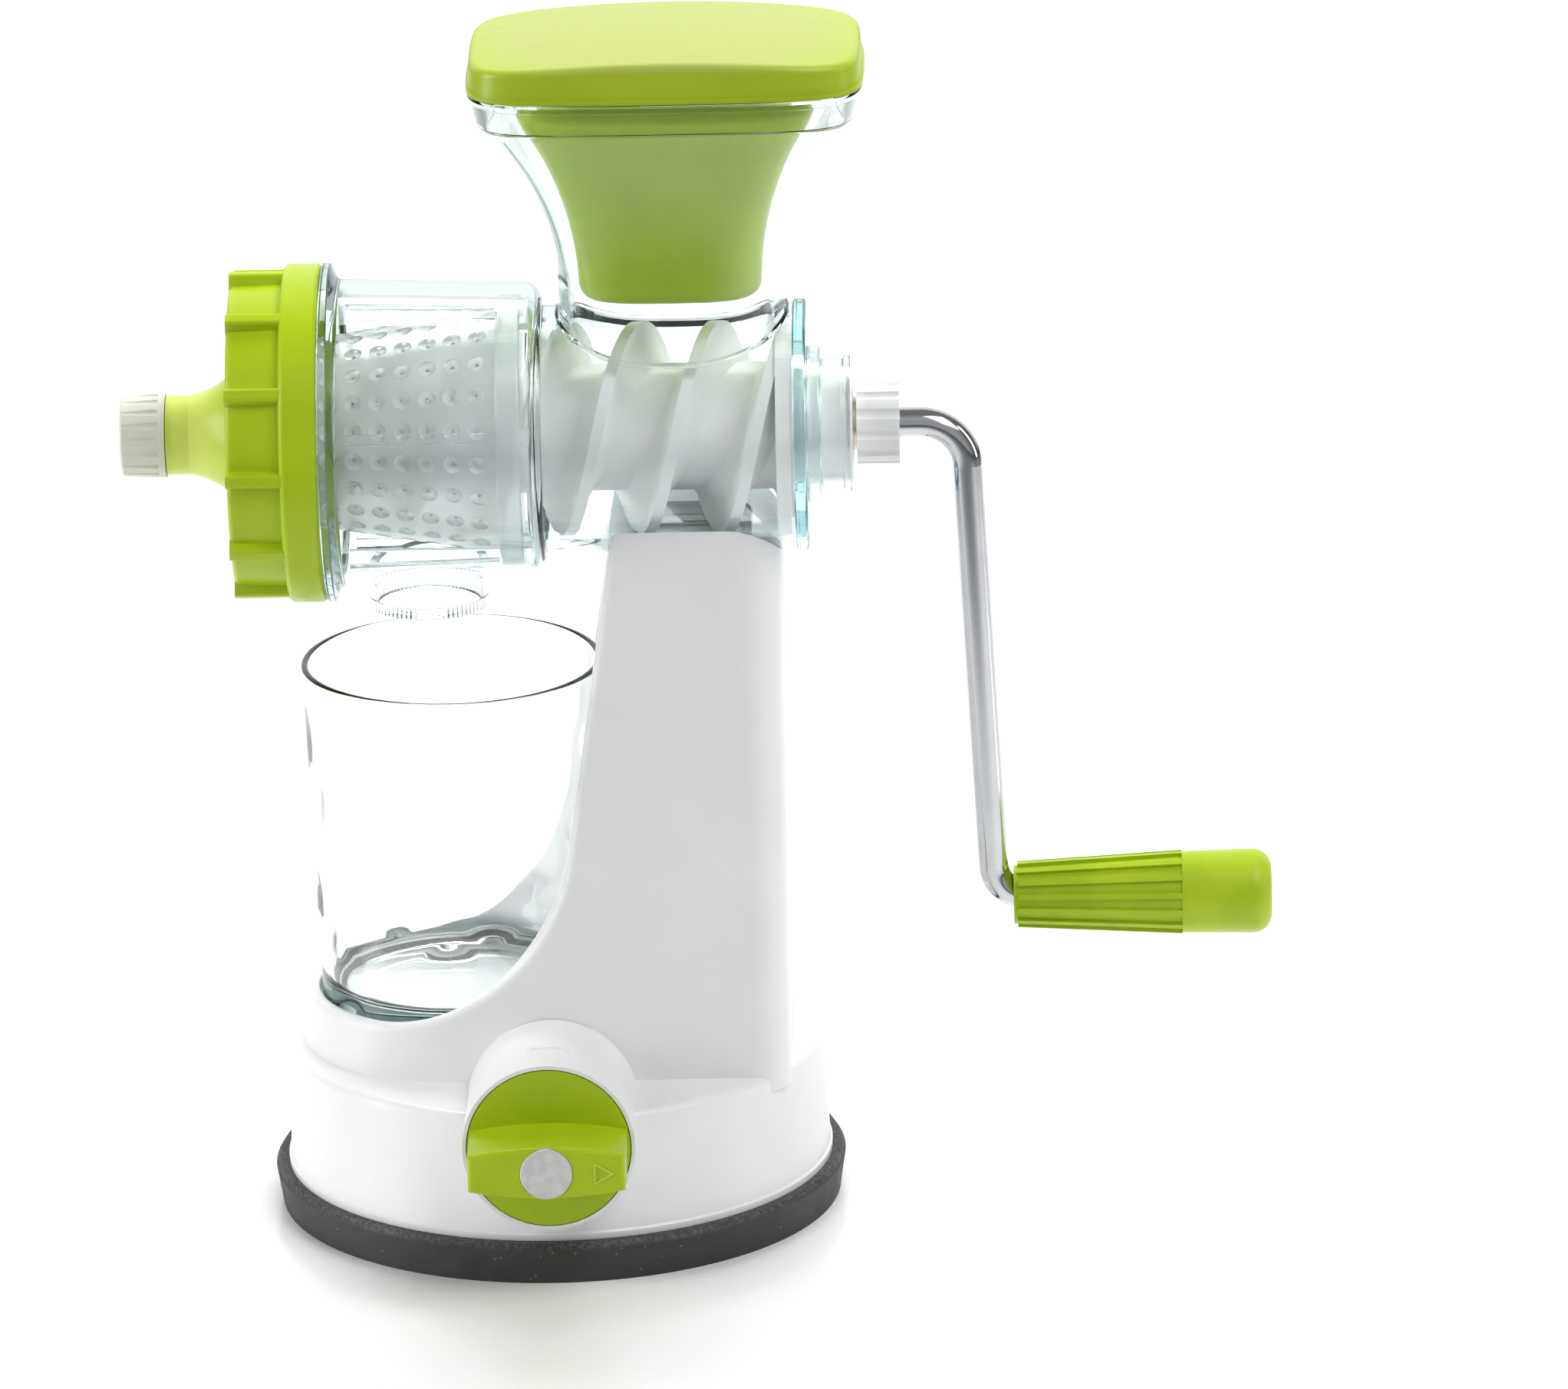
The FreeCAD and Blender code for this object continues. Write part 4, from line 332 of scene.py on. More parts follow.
@dataclass(frozen=True)
class MouldedPlastic(Finish):
    """Opaque moulded plastic: gently clouded colour, fine grain and handling marks.

    A stretch along one axis may be painted paler as painted light: a painted sheen on the lid's top and
    painted light on the cap's cone.
    """

    colour: Colour
    shade: Colour
    roughness: float = 0.34
    gloss: float = 0.5
    ior: float = 1.5
    cloud_size: float = 26.0
    cloud_edges: Point = (0.3, 0.7)
    scuffs: float = 0.1
    scuff_size: float = 3.0
    scuff_stretch: Place = (1.0, 1.0, 0.16)
    scuff_edges: Point = (0.5, 0.75)
    grain_size: float = 0.55
    grain_height: float = 0.006
    wave_size: float = 0.4
    wave_height: float = 3.0
    # painted light: a paler colour painted along one axis, between two places in millimetres
    painted_light_colour: Colour = (1.0, 1.0, 1.0)
    painted_light_axis: Axis = Axis.X
    painted_light_from: float = 0.0
    painted_light_to: float = 0.0

    def paint(self, graph: Graph) -> None:
        """Paint clouds, the stretch of painted light, scuffs and grain.

        Args:
            graph: The material's empty graph.
        """
        cloud = graph.noise(self.cloud_size, detail=4.0).between(*self.cloud_edges)
        colour = graph.mix(cloud, self.colour, self.shade)
        # painted light: blend toward the paler colour between the two places along the axis
        if self.painted_light_from != self.painted_light_to:
            place = graph.split(graph.place())[self.painted_light_axis.value]
            colour = graph.mix(place.between(self.painted_light_from * MM, self.painted_light_to * MM), colour, self.painted_light_colour)
        scuff = graph.noise(self.scuff_size, 5.0, self.scuff_stretch).between(*self.scuff_edges)
        grain = graph.noise(self.grain_size, detail=2.0)
        wave = graph.noise(self.cloud_size * self.wave_size, detail=1.0)
        graph.close({
            "Base Color": colour,
            "Roughness": self.roughness + self.scuffs * scuff,
            "IOR": self.ior,
            "Specular IOR Level": self.gloss,
            "Normal": graph.bump(grain + wave * self.wave_height, self.grain_height)})


@dataclass(frozen=True)
class ClearPlastic(Finish):
    """Clear moulded plastic, tinted through its thickness."""

    density: float
    tint: Colour = (0.50, 0.86, 0.88)
    colour: Colour = (1.0, 1.0, 1.0)
    roughness: float = 0.012
    ior: float = 1.53
    haze: float = 0.03
    haze_size: float = 5.0
    haze_stretch: Place = (0.25, 1.0, 1.0)
    haze_edges: Point = (0.52, 0.8)
    ripple: float = 0.02
    ripple_size: float = 14.0
    milk: float = 0.0

    def paint(self, graph: Graph) -> None:
        """Paint hazy marks and the ripple of flow, and fill the solid with its tint.

        Args:
            graph: The material's empty graph.
        """
        marks = graph.noise(self.haze_size, 6.0, self.haze_stretch).between(*self.haze_edges)
        flow = graph.noise(self.ripple_size, detail=1.0)
        volume = graph.add("ShaderNodeVolumeAbsorption", None, {"Color": self.tint, "Density": self.density})
        graph.close({
            "Base Color": self.colour,
            "Roughness": self.roughness + self.haze * marks,
            "IOR": self.ior,
            "Transmission Weight": 1.0 - self.milk,
            "Normal": graph.bump(flow, self.ripple)}, volume)


@dataclass(frozen=True)
class Rubber(Finish):
    """Dark rubber with dust specks and a worn, lighter top edge."""

    colour: Colour = (0.020, 0.022, 0.022)
    roughness: float = 0.55
    roughness_spread: float = 0.2
    dust: Colour = (0.15, 0.16, 0.16)
    dust_size: float = 9.0
    dust_edges: Point = (0.35, 0.75)
    dust_cover: float = 0.12
    speck_spacing: float = 1.5
    speck_share: float = 0.10
    speck_cover: float = 0.6
    worn: Colour = (0.09, 0.095, 0.095)
    worn_heights: Point = (9.0, 10.6)
    worn_size: float = 1.1
    worn_edges: Point = (0.42, 0.62)
    worn_cover: float = 0.7
    grain_size: float = 0.9
    grain_height: float = 0.06

    def paint(self, graph: Graph) -> None:
        """Paint dust, specks, the worn edge and grain.

        Args:
            graph: The material's empty graph.
        """
        cloud = graph.noise(self.dust_size, detail=5.0).between(*self.dust_edges)
        specks = graph.specks(self.speck_spacing, self.speck_share)
        height = graph.split(graph.place())[Axis.Z.value]
        patchy = graph.noise(self.worn_size, detail=4.0).between(*self.worn_edges)
        worn_from, worn_to = self.worn_heights
        edge = height.between(worn_from * MM, worn_to * MM) * patchy
        base = graph.mix(cloud * self.dust_cover, self.colour, self.dust)
        speckled = graph.mix(specks * self.speck_cover, base, self.dust)
        graph.close({
            "Base Color": graph.mix(edge * self.worn_cover, speckled, self.worn),
            "Roughness": self.roughness + self.roughness_spread * cloud,
            "Normal": graph.bump(graph.noise(self.grain_size, detail=5.0), self.grain_height)})


@dataclass(frozen=True)
class SoftSeal(Finish):
    """Milky silicone."""

    colour: Colour = (0.62, 0.63, 0.62)
    shade: Colour = (0.7, 0.7, 0.69)
    shade_size: float = 6.0
    roughness: float = 0.5
    roughness_spread: float = 0.15
    roughness_size: float = 2.0
    softness: float = 0.3
    grain_size: float = 0.8
    grain_height: float = 0.02

    def paint(self, graph: Graph) -> None:
        """Paint clouds and grain.

        Args:
            graph: The material's empty graph.
        """
        graph.close({
            "Base Color": graph.mix(graph.noise(self.shade_size), self.colour, self.shade),
            "Roughness": self.roughness + self.roughness_spread * graph.noise(self.roughness_size),
            "Subsurface Weight": self.softness,
            "Normal": graph.bump(graph.noise(self.grain_size), self.grain_height)})


@dataclass(frozen=True)
class Metal(Finish):
    """Plated or plain metal with fine drawing marks along X."""

    colour: Colour
    roughness: float
    drawing_size: float = 0.9
    drawing_stretch: Place = (0.05, 1.0, 1.0)
    drawing_height: float = 0.004
    smudge_size: float = 12.0
    smudge_edges: Point = (0.4, 0.7)
    smudge_dullness: float = 0.08
    smudge_shade: float = 0.88
    smudge_cover: float = 0.3

    def paint(self, graph: Graph) -> None:
        """Paint smudges and drawing marks.

        Args:
            graph: The material's empty graph.
        """
        drawing = graph.noise(self.drawing_size, 4.0, self.drawing_stretch)
        smudge = graph.noise(self.smudge_size, detail=4.0).between(*self.smudge_edges)
        shaded = tuple(self.smudge_shade * part for part in self.colour)
        graph.close({
            "Base Color": graph.mix(smudge * self.smudge_cover, self.colour, shaded),
            "Metallic": 1.0,
            "Roughness": self.roughness + self.smudge_dullness * smudge,
            "Normal": graph.bump(drawing, self.drawing_height)})


FINISHES: tuple[Finish, ...] = (
    MouldedPlastic("white_shell", (0.78, 0.78, 0.785), (0.75, 0.755, 0.765), 0.36),
    MouldedPlastic("white_trim", (0.80, 0.81, 0.80), (0.74, 0.75, 0.745), 0.4, cloud_size=7.0),
    MouldedPlastic("white_screw", (0.90, 0.90, 0.895), (0.86, 0.865, 0.86), 0.3, cloud_size=18.0),
    MouldedPlastic("warm_white", (0.66, 0.665, 0.60), (0.62, 0.625, 0.56), 0.4, cloud_size=7.0),
    MouldedPlastic("grey_white", (0.60, 0.60, 0.585), (0.50, 0.50, 0.49), 0.45, cloud_size=3.0),
    MouldedPlastic("green_shell", (0.38, 0.51, 0.008), (0.34, 0.47, 0.006), 0.3, 0.25, cloud_size=22.0),
    # Lid: the shell's green, with a painted sheen: its top is painted paler between two heights
    MouldedPlastic("green_lid_painted_sheen", (0.38, 0.50, 0.014), (0.35, 0.47, 0.010), 0.34, cloud_size=24.0,
                   painted_light_colour=(0.39, 0.45, 0.085), painted_light_axis=Axis.Z, painted_light_from=311.0, painted_light_to=314.0),
    MouldedPlastic("green_mark", (0.46, 0.60, 0.05), (0.44, 0.57, 0.04)),
    # Cap: painted light, its cone end is painted paler along X
    MouldedPlastic("green_cap", (0.40, 0.54, 0.009), (0.37, 0.50, 0.007), 0.3, 0.3, cloud_size=22.0,
                   painted_light_colour=(0.68, 0.77, 0.16), painted_light_from=-76.0, painted_light_to=-89.0),
    MouldedPlastic("green_grip", (0.38, 0.51, 0.012), (0.32, 0.46, 0.009), 0.36, 0.3, cloud_size=12.0),
    ClearPlastic("clear_moulding", 30.0),
    ClearPlastic("clear_strainer", 30.0, (0.66, 0.88, 0.86), roughness=0.16, haze=0.1, milk=0.32),
    ClearPlastic("clear_tumbler", 14.0, (0.55, 0.88, 0.86)),
    Rubber("foot_rubber"),
    SoftSeal("soft_seal"),
    Metal("crank_chrome", (0.62, 0.63, 0.65), 0.06),
    Metal("steel_small", (0.56, 0.57, 0.58), 0.28),
    Metal("brass_insert", (0.66, 0.62, 0.52), 0.25),
)


# ---------------------------------------------------------------- forms

class Join(Enum):
    """What a boolean does with its tool."""

    ADD = "UNION"
    CUT = "DIFFERENCE"


def rounded(corners: Sequence[Corner], steps: int = 8) -> list[Point]:
    """Closed outline whose corners are rounded.

    Args:
        corners: Each corner's place and its rounding radius, zero for a sharp one.
        steps: Straight pieces in each rounding.

    Returns:
        The outline's points.
    """
    points: list[Point] = []
    count = len(corners)
    for index, (x, y, radius) in enumerate(corners):
        here = Vector((x, y))
        if radius <= 0:
            points.append((x, y))
            continue
        before = (Vector(corners[index - 1][:2]) - here).normalized()
        after = (Vector(corners[(index + 1) % count][:2]) - here).normalized()
        half = before.angle(after) / 2
        middle = here + (before + after).normalized() * (radius / math.sin(half))
        first = here + before * (radius / math.tan(half)) - middle
        last = here + after * (radius / math.tan(half)) - middle
        sweep = first.angle_signed(last)
        for step in range(steps + 1):
            spoke = first.copy()
            spoke.rotate(Matrix.Rotation(-sweep * step / steps, 2))
            points.append(tuple(middle + spoke))
    return points


def oval(half_width: float, half_depth: float, squareness: float, count: int = 160) -> list[Point]:
    """Closed outline between an ellipse and a rectangle with bowed sides.

    Args:
        half_width: Reach to either side.
        half_depth: Reach to the front and to the back.
        squareness: Two for an ellipse, more for a squarer outline.
        count: How many points it has.

    Returns:
        The outline's points.
    """
    points = []
    for step in range(count):
        turn = FULL_TURN * (step + 0.5) / count
        across, along = math.cos(turn), math.sin(turn)
        points.append((half_width * math.copysign(abs(across) ** (2 / squareness), across),
                       half_depth * math.copysign(abs(along) ** (2 / squareness), along)))
    return points


def new_piece(name: str, points: Sequence[Vector], faces: Sequence[Sequence[int]]) -> Piece:
    """Make a mesh object from points in millimetres.

    Args:
        name: The piece's name.
        points: Its vertices.
        faces: Vertex indices of each face.

    Returns:
        The object, linked to the scene, with its faces turned outward.
    """
    mesh = bpy.data.meshes.new(name)
    mesh.from_pydata([tuple(point * MM) for point in points], [], [tuple(face) for face in faces])
    build = bmesh.new()
    build.from_mesh(mesh)
    bmesh.ops.remove_doubles(build, verts=build.verts, dist=SAME_PLACE)
    bmesh.ops.recalc_face_normals(build, faces=build.faces)
    build.to_mesh(mesh)
    build.free()
    piece = bpy.data.objects.new(name, mesh)
    bpy.context.scene.collection.objects.link(piece)
    return piece


def skin(rings: Sequence[Sequence[Vector]], closed: bool = False) -> tuple[list[Vector], list[list[int]]]:
    """Points and faces of a surface through rings of equal length.

    Args:
        rings: The rings, each closed on itself.
        closed: Whether the last ring joins the first; if not, both ends are capped.

    Returns:
        Points and faces.
    """
    size = len(rings[0])
    points = [point for ring in rings for point in ring]
    faces = []
    bands = len(rings) if closed else len(rings) - 1
    for band in range(bands):
        low = band * size
        high = (band + 1) % len(rings) * size
        for step in range(size):
            after = (step + 1) % size
            faces.append([low + step, low + after, high + after, high + step])
    if not closed:
        faces.append(list(range(size)))
        faces.append([(len(rings) - 1) * size + step for step in range(size)])
    return points, faces


def turned(name: str, outline: Sequence[Point], axis: Axis, centre: Vector, segments: int = 192) -> Piece:
    """Solid of revolution.

    Args:
        name: The piece's name.
        outline: Closed outline as places along the axis and radii.
        axis: The axis.
        centre: A point of the axis, where "along" is zero.
        segments: Straight pieces around.

    Returns:
        The solid.
    """
    rings = []
    for step in range(segments):
        angle = FULL_TURN * step / segments
        across, side = math.cos(angle), math.sin(angle)
        rings.append([centre + axis.point(along, radius * across, radius * side)
                      for along, radius in outline])
    return new_piece(name, *skin(rings, closed=True))


def drawn(name: str, outline: Sequence[Point], axis: Axis, start: float, end: float) -> Piece:
    """Prism: an outline across an axis, drawn along it.

    Args:
        name: The piece's name.
        outline: Closed outline, in places across the axis.
        axis: The axis.
        start: Where the prism starts along the axis.
        end: Where it ends.

    Returns:
        The solid.
    """
    rings = [[axis.point(along, across, side) for across, side in outline] for along in (start, end)]
    return new_piece(name, *skin(rings))


def swept(name: str, path: Sequence[Vector], radius: float, closed: bool = False, sides: int = 10) -> Piece:
    """Round bead along a path that is nowhere upright.

    Args:
        name: The piece's name.
        path: Points along its middle.
        radius: Radius of the bead.
        closed: Whether the path returns to its start.
        sides: Straight pieces around the bead.

    Returns:
        The solid.
    """
    last = len(path) - 1
    rings = []
    for index, point in enumerate(path):
        behind = path[index - 1] if closed or index > 0 else point
        before = path[(index + 1) % len(path)] if closed or index < last else point
        ahead = (before - behind).normalized()
        out = ahead.cross(Vector((0, 0, 1))).normalized()
        up = out.cross(ahead)
        rings.append([point + (out * math.cos(turn) + up * math.sin(turn)) * radius
                      for turn in (FULL_TURN * side / sides for side in range(sides))])
    return new_piece(name, *skin(rings, closed=closed))


def bars(name: str, outline: Sequence[Point], ends: Point, count: int, first: float,
         middle: Vector) -> list[Piece]:
    """Bars along X, spread evenly around the screw's axis.

    Args:
        name: First part of each bar's name.
        outline: Section of a bar that stands straight above the axis.
        ends: Where the bars start and end along X.
        count: How many there are.
        first: How far the first one stands above the level on the user's side, in degrees.
        middle: A point of the axis, in metres.

    Returns:
        The bars.
    """
    made = []
    for index in range(count):
        bar = drawn(f"{name}_{index}", outline, Axis.X, *ends)
        turn = math.radians(90 - first + 360 / count * index)
        bar.data.transform(Matrix.Translation(middle) @ Matrix.Rotation(turn, 4, "X"))
        made.append(bar)
    return made


def settle(piece: Piece) -> None:
    """Make a piece's modifiers part of its mesh.

    Args:
        piece: The piece.
    """
    depsgraph = bpy.context.evaluated_depsgraph_get()
    depsgraph.update()
    mesh = bpy.data.meshes.new_from_object(piece.evaluated_get(depsgraph))
    piece.modifiers.clear()
    piece.data = mesh


def combined(base: Piece, tools: Sequence[Piece], join: Join) -> Piece:
    """Add tools to a piece or cut them from it, for good.

    Args:
        base: The piece that is changed.
        tools: The others, which are used up.
        join: What to do with them.

    Returns:
        The changed piece.
    """
    for tool in tools:
        step = base.modifiers.new(tool.name, "BOOLEAN")
        step.operation = join.value
        step.solver = "MANIFOLD"
        step.object = tool
    settle(base)
    for tool in tools:
        bpy.data.objects.remove(tool)
    return base


def smoothed(piece: Piece, crease: float = 30.0) -> Piece:
    """Shade a piece smoothly, with creases where its faces turn sharply.

    Args:
        piece: The piece.
        crease: Angle from which an edge stays sharp, in degrees.

    Returns:
        The same piece.
    """
    piece.data.shade_smooth()
    piece.data.set_sharp_from_angle(angle=math.radians(crease))
    weights = piece.modifiers.new("even_normals", "WEIGHTED_NORMAL")
    weights.keep_sharp = True
    return piece


# ---------------------------------------------------------------- sub-assemblies

class Workshop:
    """Hands out materials and places finished pieces on the frame."""

    def __init__(self, frame: dict) -> None:
        """Make every finish and remember the frame."""
        self.nodes = frame["nodes"]
        self.materials = {finish.name: finish.make() for finish in FINISHES}

    def span(self, node: str) -> tuple[Vector, Vector]:
        """Lowest and highest corner of a construction node, in millimetres."""
        low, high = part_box(node)
        return Vector(low) / MM, Vector(high) / MM

    def dress(self, piece: Piece, finish: str) -> None:
        """Give the whole piece one finish.

        Args:
            piece: The piece.
            finish: The finish's name.
        """
        slots = piece.data.materials
        if not slots:
            slots.append(None)
        for index in range(len(slots)):
            slots[index] = self.materials[finish]

    def keep(self, finish: str, *names: str) -> None:
        """Show construction nodes as they are, in a finish.

        Args:
            finish: The finish's name.
            names: The nodes.
        """
        for name in names:
            self.dress(self.nodes[name], finish)
            log.info("kept %s in %s", name, finish)

    def fit(self, piece: Piece, body: str, finish: str, *replaced: str) -> Piece:
        """Dress a new piece and let it ride on a body.

        Args:
            piece: The new piece.
            body: The body that it moves with.
            finish: Its finish.
            replaced: The construction nodes that it stands for.

        Returns:
            The same piece.
        """
        self.dress(piece, finish)
        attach(piece, body)
        if replaced:
            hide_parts(*replaced)
        log.info("fitted %s on %s", piece.name, body)
        return piece


@dataclass
class Assembly:
    """A sub-assembly: construction nodes shown as they are, and pieces of its own."""

    shop: Workshop
    kept: ClassVar[dict[str, tuple[str, ...]]] = {}

    def build(self) -> None:
        """Dress the kept nodes, finish by finish, and add the sub-assembly's own pieces."""
        for finish, names in self.kept.items():
            self.shop.keep(finish, *names)
        self.add_pieces()

    def add_pieces(self) -> None:
        """Make the pieces that the construction doesn't have, if there are any."""


@dataclass
class Flare:
    """The curve of the hopper, from its throat up to its tray."""

    middle: float
    rim_height: float
    rise: float = 52.0
    throat_squareness: float = 2.7
    rim_squareness: float = 5.0
    power: float = 2.25

    def ring(self, height: float, width: float, depth: float, spread: Point) -> list[Vector]:
        """Outline at a height.

        Args:
            height: Height above the table.
            width: Half width in the throat.
            depth: Half depth in the throat.
            spread: How much width and depth grow up to the rim.

        Returns:
            The outline's points.
        """
        share = min(max(1 - (self.rim_height - height) / self.rise, 0.0), 1.0)
        grown = share ** self.power
        squareness = self.throat_squareness + (self.rim_squareness - self.throat_squareness) * share
        outline = oval(width + spread[0] * grown, depth + spread[1] * grown, squareness)
        return [Vector((self.middle + x, y, height)) for x, y in outline]


@dataclass
class ClearHead(Assembly):
    """Drum, chamber, hopper and juice spout: one clear moulding."""

    overrun: float = 1.0
    drum_radius: float = 32.2
    drum_wall: float = 3.0
    end_plate: Point = (14.4, 11.2)
    end_plate_radius: float = 32.7
    step: Point = (7.8, 20.3)
    neck_radius: float = 17.0
    lip: Point = (2.0, 17.8)
    journal: Point = (14.3, 15.06)
    wall: float = 2.5
    chamber_radii: Point = (38.1, 39.8)
    chamber_round: float = 5.0
    chamber_end: float = 11.4
    flange: Point = (9.6, 7.3)
    screw_neck_radius: float = 40.6
    spout_at: float = -30.0
    spout_radius: float = 15.9
    spout_wall: float = 2.0
    spout_reach: float = 3.0
    notches: int = 70
    notch: Point = (2.6, 0.35)
    notch_fade: float = 0.3
    rail_count: int = 6
    rail_size: Point = (2.5, 2.2)
    rail_root: float = 0.5
    rail_ends: Point = (-49.0, -10.3)
    rail_turn: float = 13.4
    foot: tuple[float, float, float] = (24.0, 54.0, 17.0)
    foot_corner: float = 4.0
    foot_roof: float = 1.0
    throat: Point = (29.3, 22.5)
    spread: Point = (18.9, 8.7)
    flare_stations: int = 24
    tray_rise: float = 8.8
    tray_spread: float = 1.1
    tray_step: float = 0.7
    bead: Point = (2.2, 0.8)
    bead_lead: Point = (0.4, 0.1)
    bead_turn: float = 0.8
    bead_top: Point = (0.5, 0.4)
    weld_radius: float = 0.9
    axis_height: float = field(init=False)
    left: float = field(init=False)
    joint: float = field(init=False)
    right: float = field(init=False)
    flange_radius: float = field(init=False)
    spout_low: float = field(init=False)
    foot_low: float = field(init=False)
    flare: Flare = field(init=False)

    def __post_init__(self) -> None:
        """Take the moulding's main places from the construction."""
        chamber_low, chamber_high = self.shop.span("juice_chamber")
        drum_low, drum_high = self.shop.span("auger_drum")
        hopper_low, hopper_high = self.shop.span("feed_hopper")
        auger_low, auger_high = self.shop.span("auger")
        self.axis_height = (auger_low.z + auger_high.z) / 2
        self.left, self.joint, self.right = chamber_low.x, drum_low.x, drum_high.x
        self.flange_radius = chamber_high.y
        self.spout_low, self.foot_low = chamber_low.z, drum_low.z
        self.flare = Flare((hopper_low.x + hopper_high.x) / 2, hopper_high.z - self.tray_rise)

    def centre(self) -> Vector:
        """A point of the screw's axis."""
        return Vector((0, 0, self.axis_height))

    def drum(self) -> Piece:
        """Outside of the drum with its end plate and bearing neck.

        Returns:
            The solid.
        """
        start = self.joint - self.overrun
        plate_left, plate_right = (self.right - back for back in self.end_plate)
        step_right, step_radius = self.right - self.step[0], self.step[1]
        lip_left, lip_radius = self.right - self.lip[0], self.lip[1]
        outline = rounded([
            (start, 0, 0), (start, self.drum_radius, 0),
            (plate_left, self.drum_radius, 0.3), (plate_left, self.end_plate_radius, 0.25),
            (plate_right, self.end_plate_radius, 0.9), (plate_right, step_radius, 0.6),
            (step_right, step_radius, 0.7), (step_right, self.neck_radius, 0.5),
            (lip_left, self.neck_radius, 0.3), (lip_left, lip_radius, 0.35),
            (self.right, lip_radius, 0.5), (self.right, 0, 0)])
        return turned("clear_moulding", outline, Axis.X, self.centre())

    def chamber(self) -> Piece:
        """Outside of the chamber with its flange and screw neck.

        Returns:
            The solid.
        """
        flange_right, flange_left = (self.left + ahead for ahead in self.flange)
        right_radius, left_radius = self.chamber_radii
        outline = rounded([
            (self.joint, 0, 0), (self.joint, right_radius, self.chamber_round),
            (self.left + self.chamber_end, left_radius, 1.2), (flange_right, self.flange_radius, 0.6),
            (flange_left, self.flange_radius, 0.4), (flange_left, self.screw_neck_radius, 0.3),
            (self.left, self.screw_neck_radius, 0.5), (self.left, 0, 0)])
        return turned("chamber_outside", outline, Axis.X, self.centre())

    def chamber_bore(self) -> Piece:
        """Hollow of the chamber.

        Returns:
            The solid.
        """
        start, end = self.joint - self.wall, self.left - OVERCUT
        corner = self.chamber_round - self.wall
        right_radius, left_radius = (radius - self.wall for radius in self.chamber_radii)
        outline = rounded([
            (start, 0, 0), (start, right_radius, corner),
            (self.left + self.chamber_end, left_radius, 1.0), (end, left_radius, 0), (end, 0, 0)])
        return turned("chamber_bore", outline, Axis.X, self.centre())

    def drum_bore(self) -> Piece:
        """Hollow of the drum and of its bearing.

        Returns:
            The solid.
        """
        bore = self.drum_radius - self.drum_wall
        start, end = self.joint - self.wall - OVERCUT, self.right + OVERCUT
        journal_left, journal_radius = self.right - self.journal[0], self.journal[1]
        outline = [(start, 0), (start, bore), (journal_left, bore), (journal_left, journal_radius),
                   (end, journal_radius), (end, 0)]
        return turned("drum_bore", outline, Axis.X, self.centre())

    def hopper(self, inset: float, low: float, tray: Sequence[Point]) -> Piece:
        """Outside or inside of the hopper.

        Args:
            inset: How far inside the outer surface.
            low: Height of its lower end.
            tray: Height over the rim and growth past it of each outline of the tray.

        Returns:
            The solid.
        """
        flare, stations = self.flare, self.flare_stations
        width, depth = (size - inset for size in self.throat)
        heights = [low] + [flare.rim_height - flare.rise * (1 - step / stations)
                           for step in range(stations + 1)]
        rings = [flare.ring(height, width, depth, self.spread) for height in heights]
        for rise, growth in tray:
            outline = oval(width + self.spread[0] + growth, depth + self.spread[1] + growth,
                           flare.rim_squareness)
            rings.append([Vector((flare.middle + x, y, flare.rim_height + rise)) for x, y in outline])
        return new_piece("hopper_form", *skin(rings))

    def tray_outside(self) -> list[Point]:
        """Step, wall and beaded edge of the tray.

        Returns:
            Height over the rim and growth past it of each outline.
        """
        bead_height, bead_proud = self.bead
        lead_height, lead_back = self.bead_lead
        top_height, top_back = self.bead_top
        wall_top = self.tray_step + self.tray_spread
        bead_low = self.tray_rise - bead_height
        return [
            (self.tray_step, self.tray_step), (bead_low, wall_top),
            (bead_low + lead_height, wall_top + bead_proud - lead_back),
            (bead_low + self.bead_turn, wall_top + bead_proud),
            (self.tray_rise - top_height, wall_top + bead_proud),
            (self.tray_rise, wall_top + bead_proud - top_back)]

    def tray_inside(self) -> list[Point]:
        """Step and wall of the tray's hollow, past its top."""
        return [(self.tray_step, self.tray_step),
                (self.tray_rise + self.overrun, self.tray_step + self.tray_spread)]

    def weld(self) -> Piece:
        """Rounded line where the hopper meets the drum.

        Returns:
            The solid.
        """
        ring = self.flare.ring(self.axis_height, *self.throat, self.spread)
        path = [Vector((point.x, point.y,
                        self.axis_height + math.sqrt(self.drum_radius ** 2 - point.y ** 2)))
                for point in ring]
        return swept("weld_form", path, self.weld_radius, closed=True)

    def foot_block(self, inset: float, low: float, high: float) -> Piece:
        """Block of the foot that plugs into the column, or its hollow.

        Args:
            inset: How far inside the outer surface.
            low: Height of its lower end.
            high: Height of its upper end.

        Returns:
            The solid.
        """
        left, right, half = self.foot
        corner = self.foot_corner - inset / 2
        outline = rounded([
            (left + inset, inset - half, corner), (right - inset, inset - half, corner),
            (right - inset, half - inset, corner), (left + inset, half - inset, corner)])
        return drawn("foot_form", outline, Axis.Z, low, high)

    def spout(self, high: float) -> Piece:
        """Outside of the juice spout.

        Args:
            high: Height of its upper end.

        Returns:
            The solid.
        """
        low, radius = self.spout_low, self.spout_radius
        outline = rounded([(low, 0, 0), (low, radius, 0.5), (high, radius, 0), (high, 0, 0)])
        return turned("spout_form", outline, Axis.Z, Vector((self.spout_at, 0, 0)), segments=128)

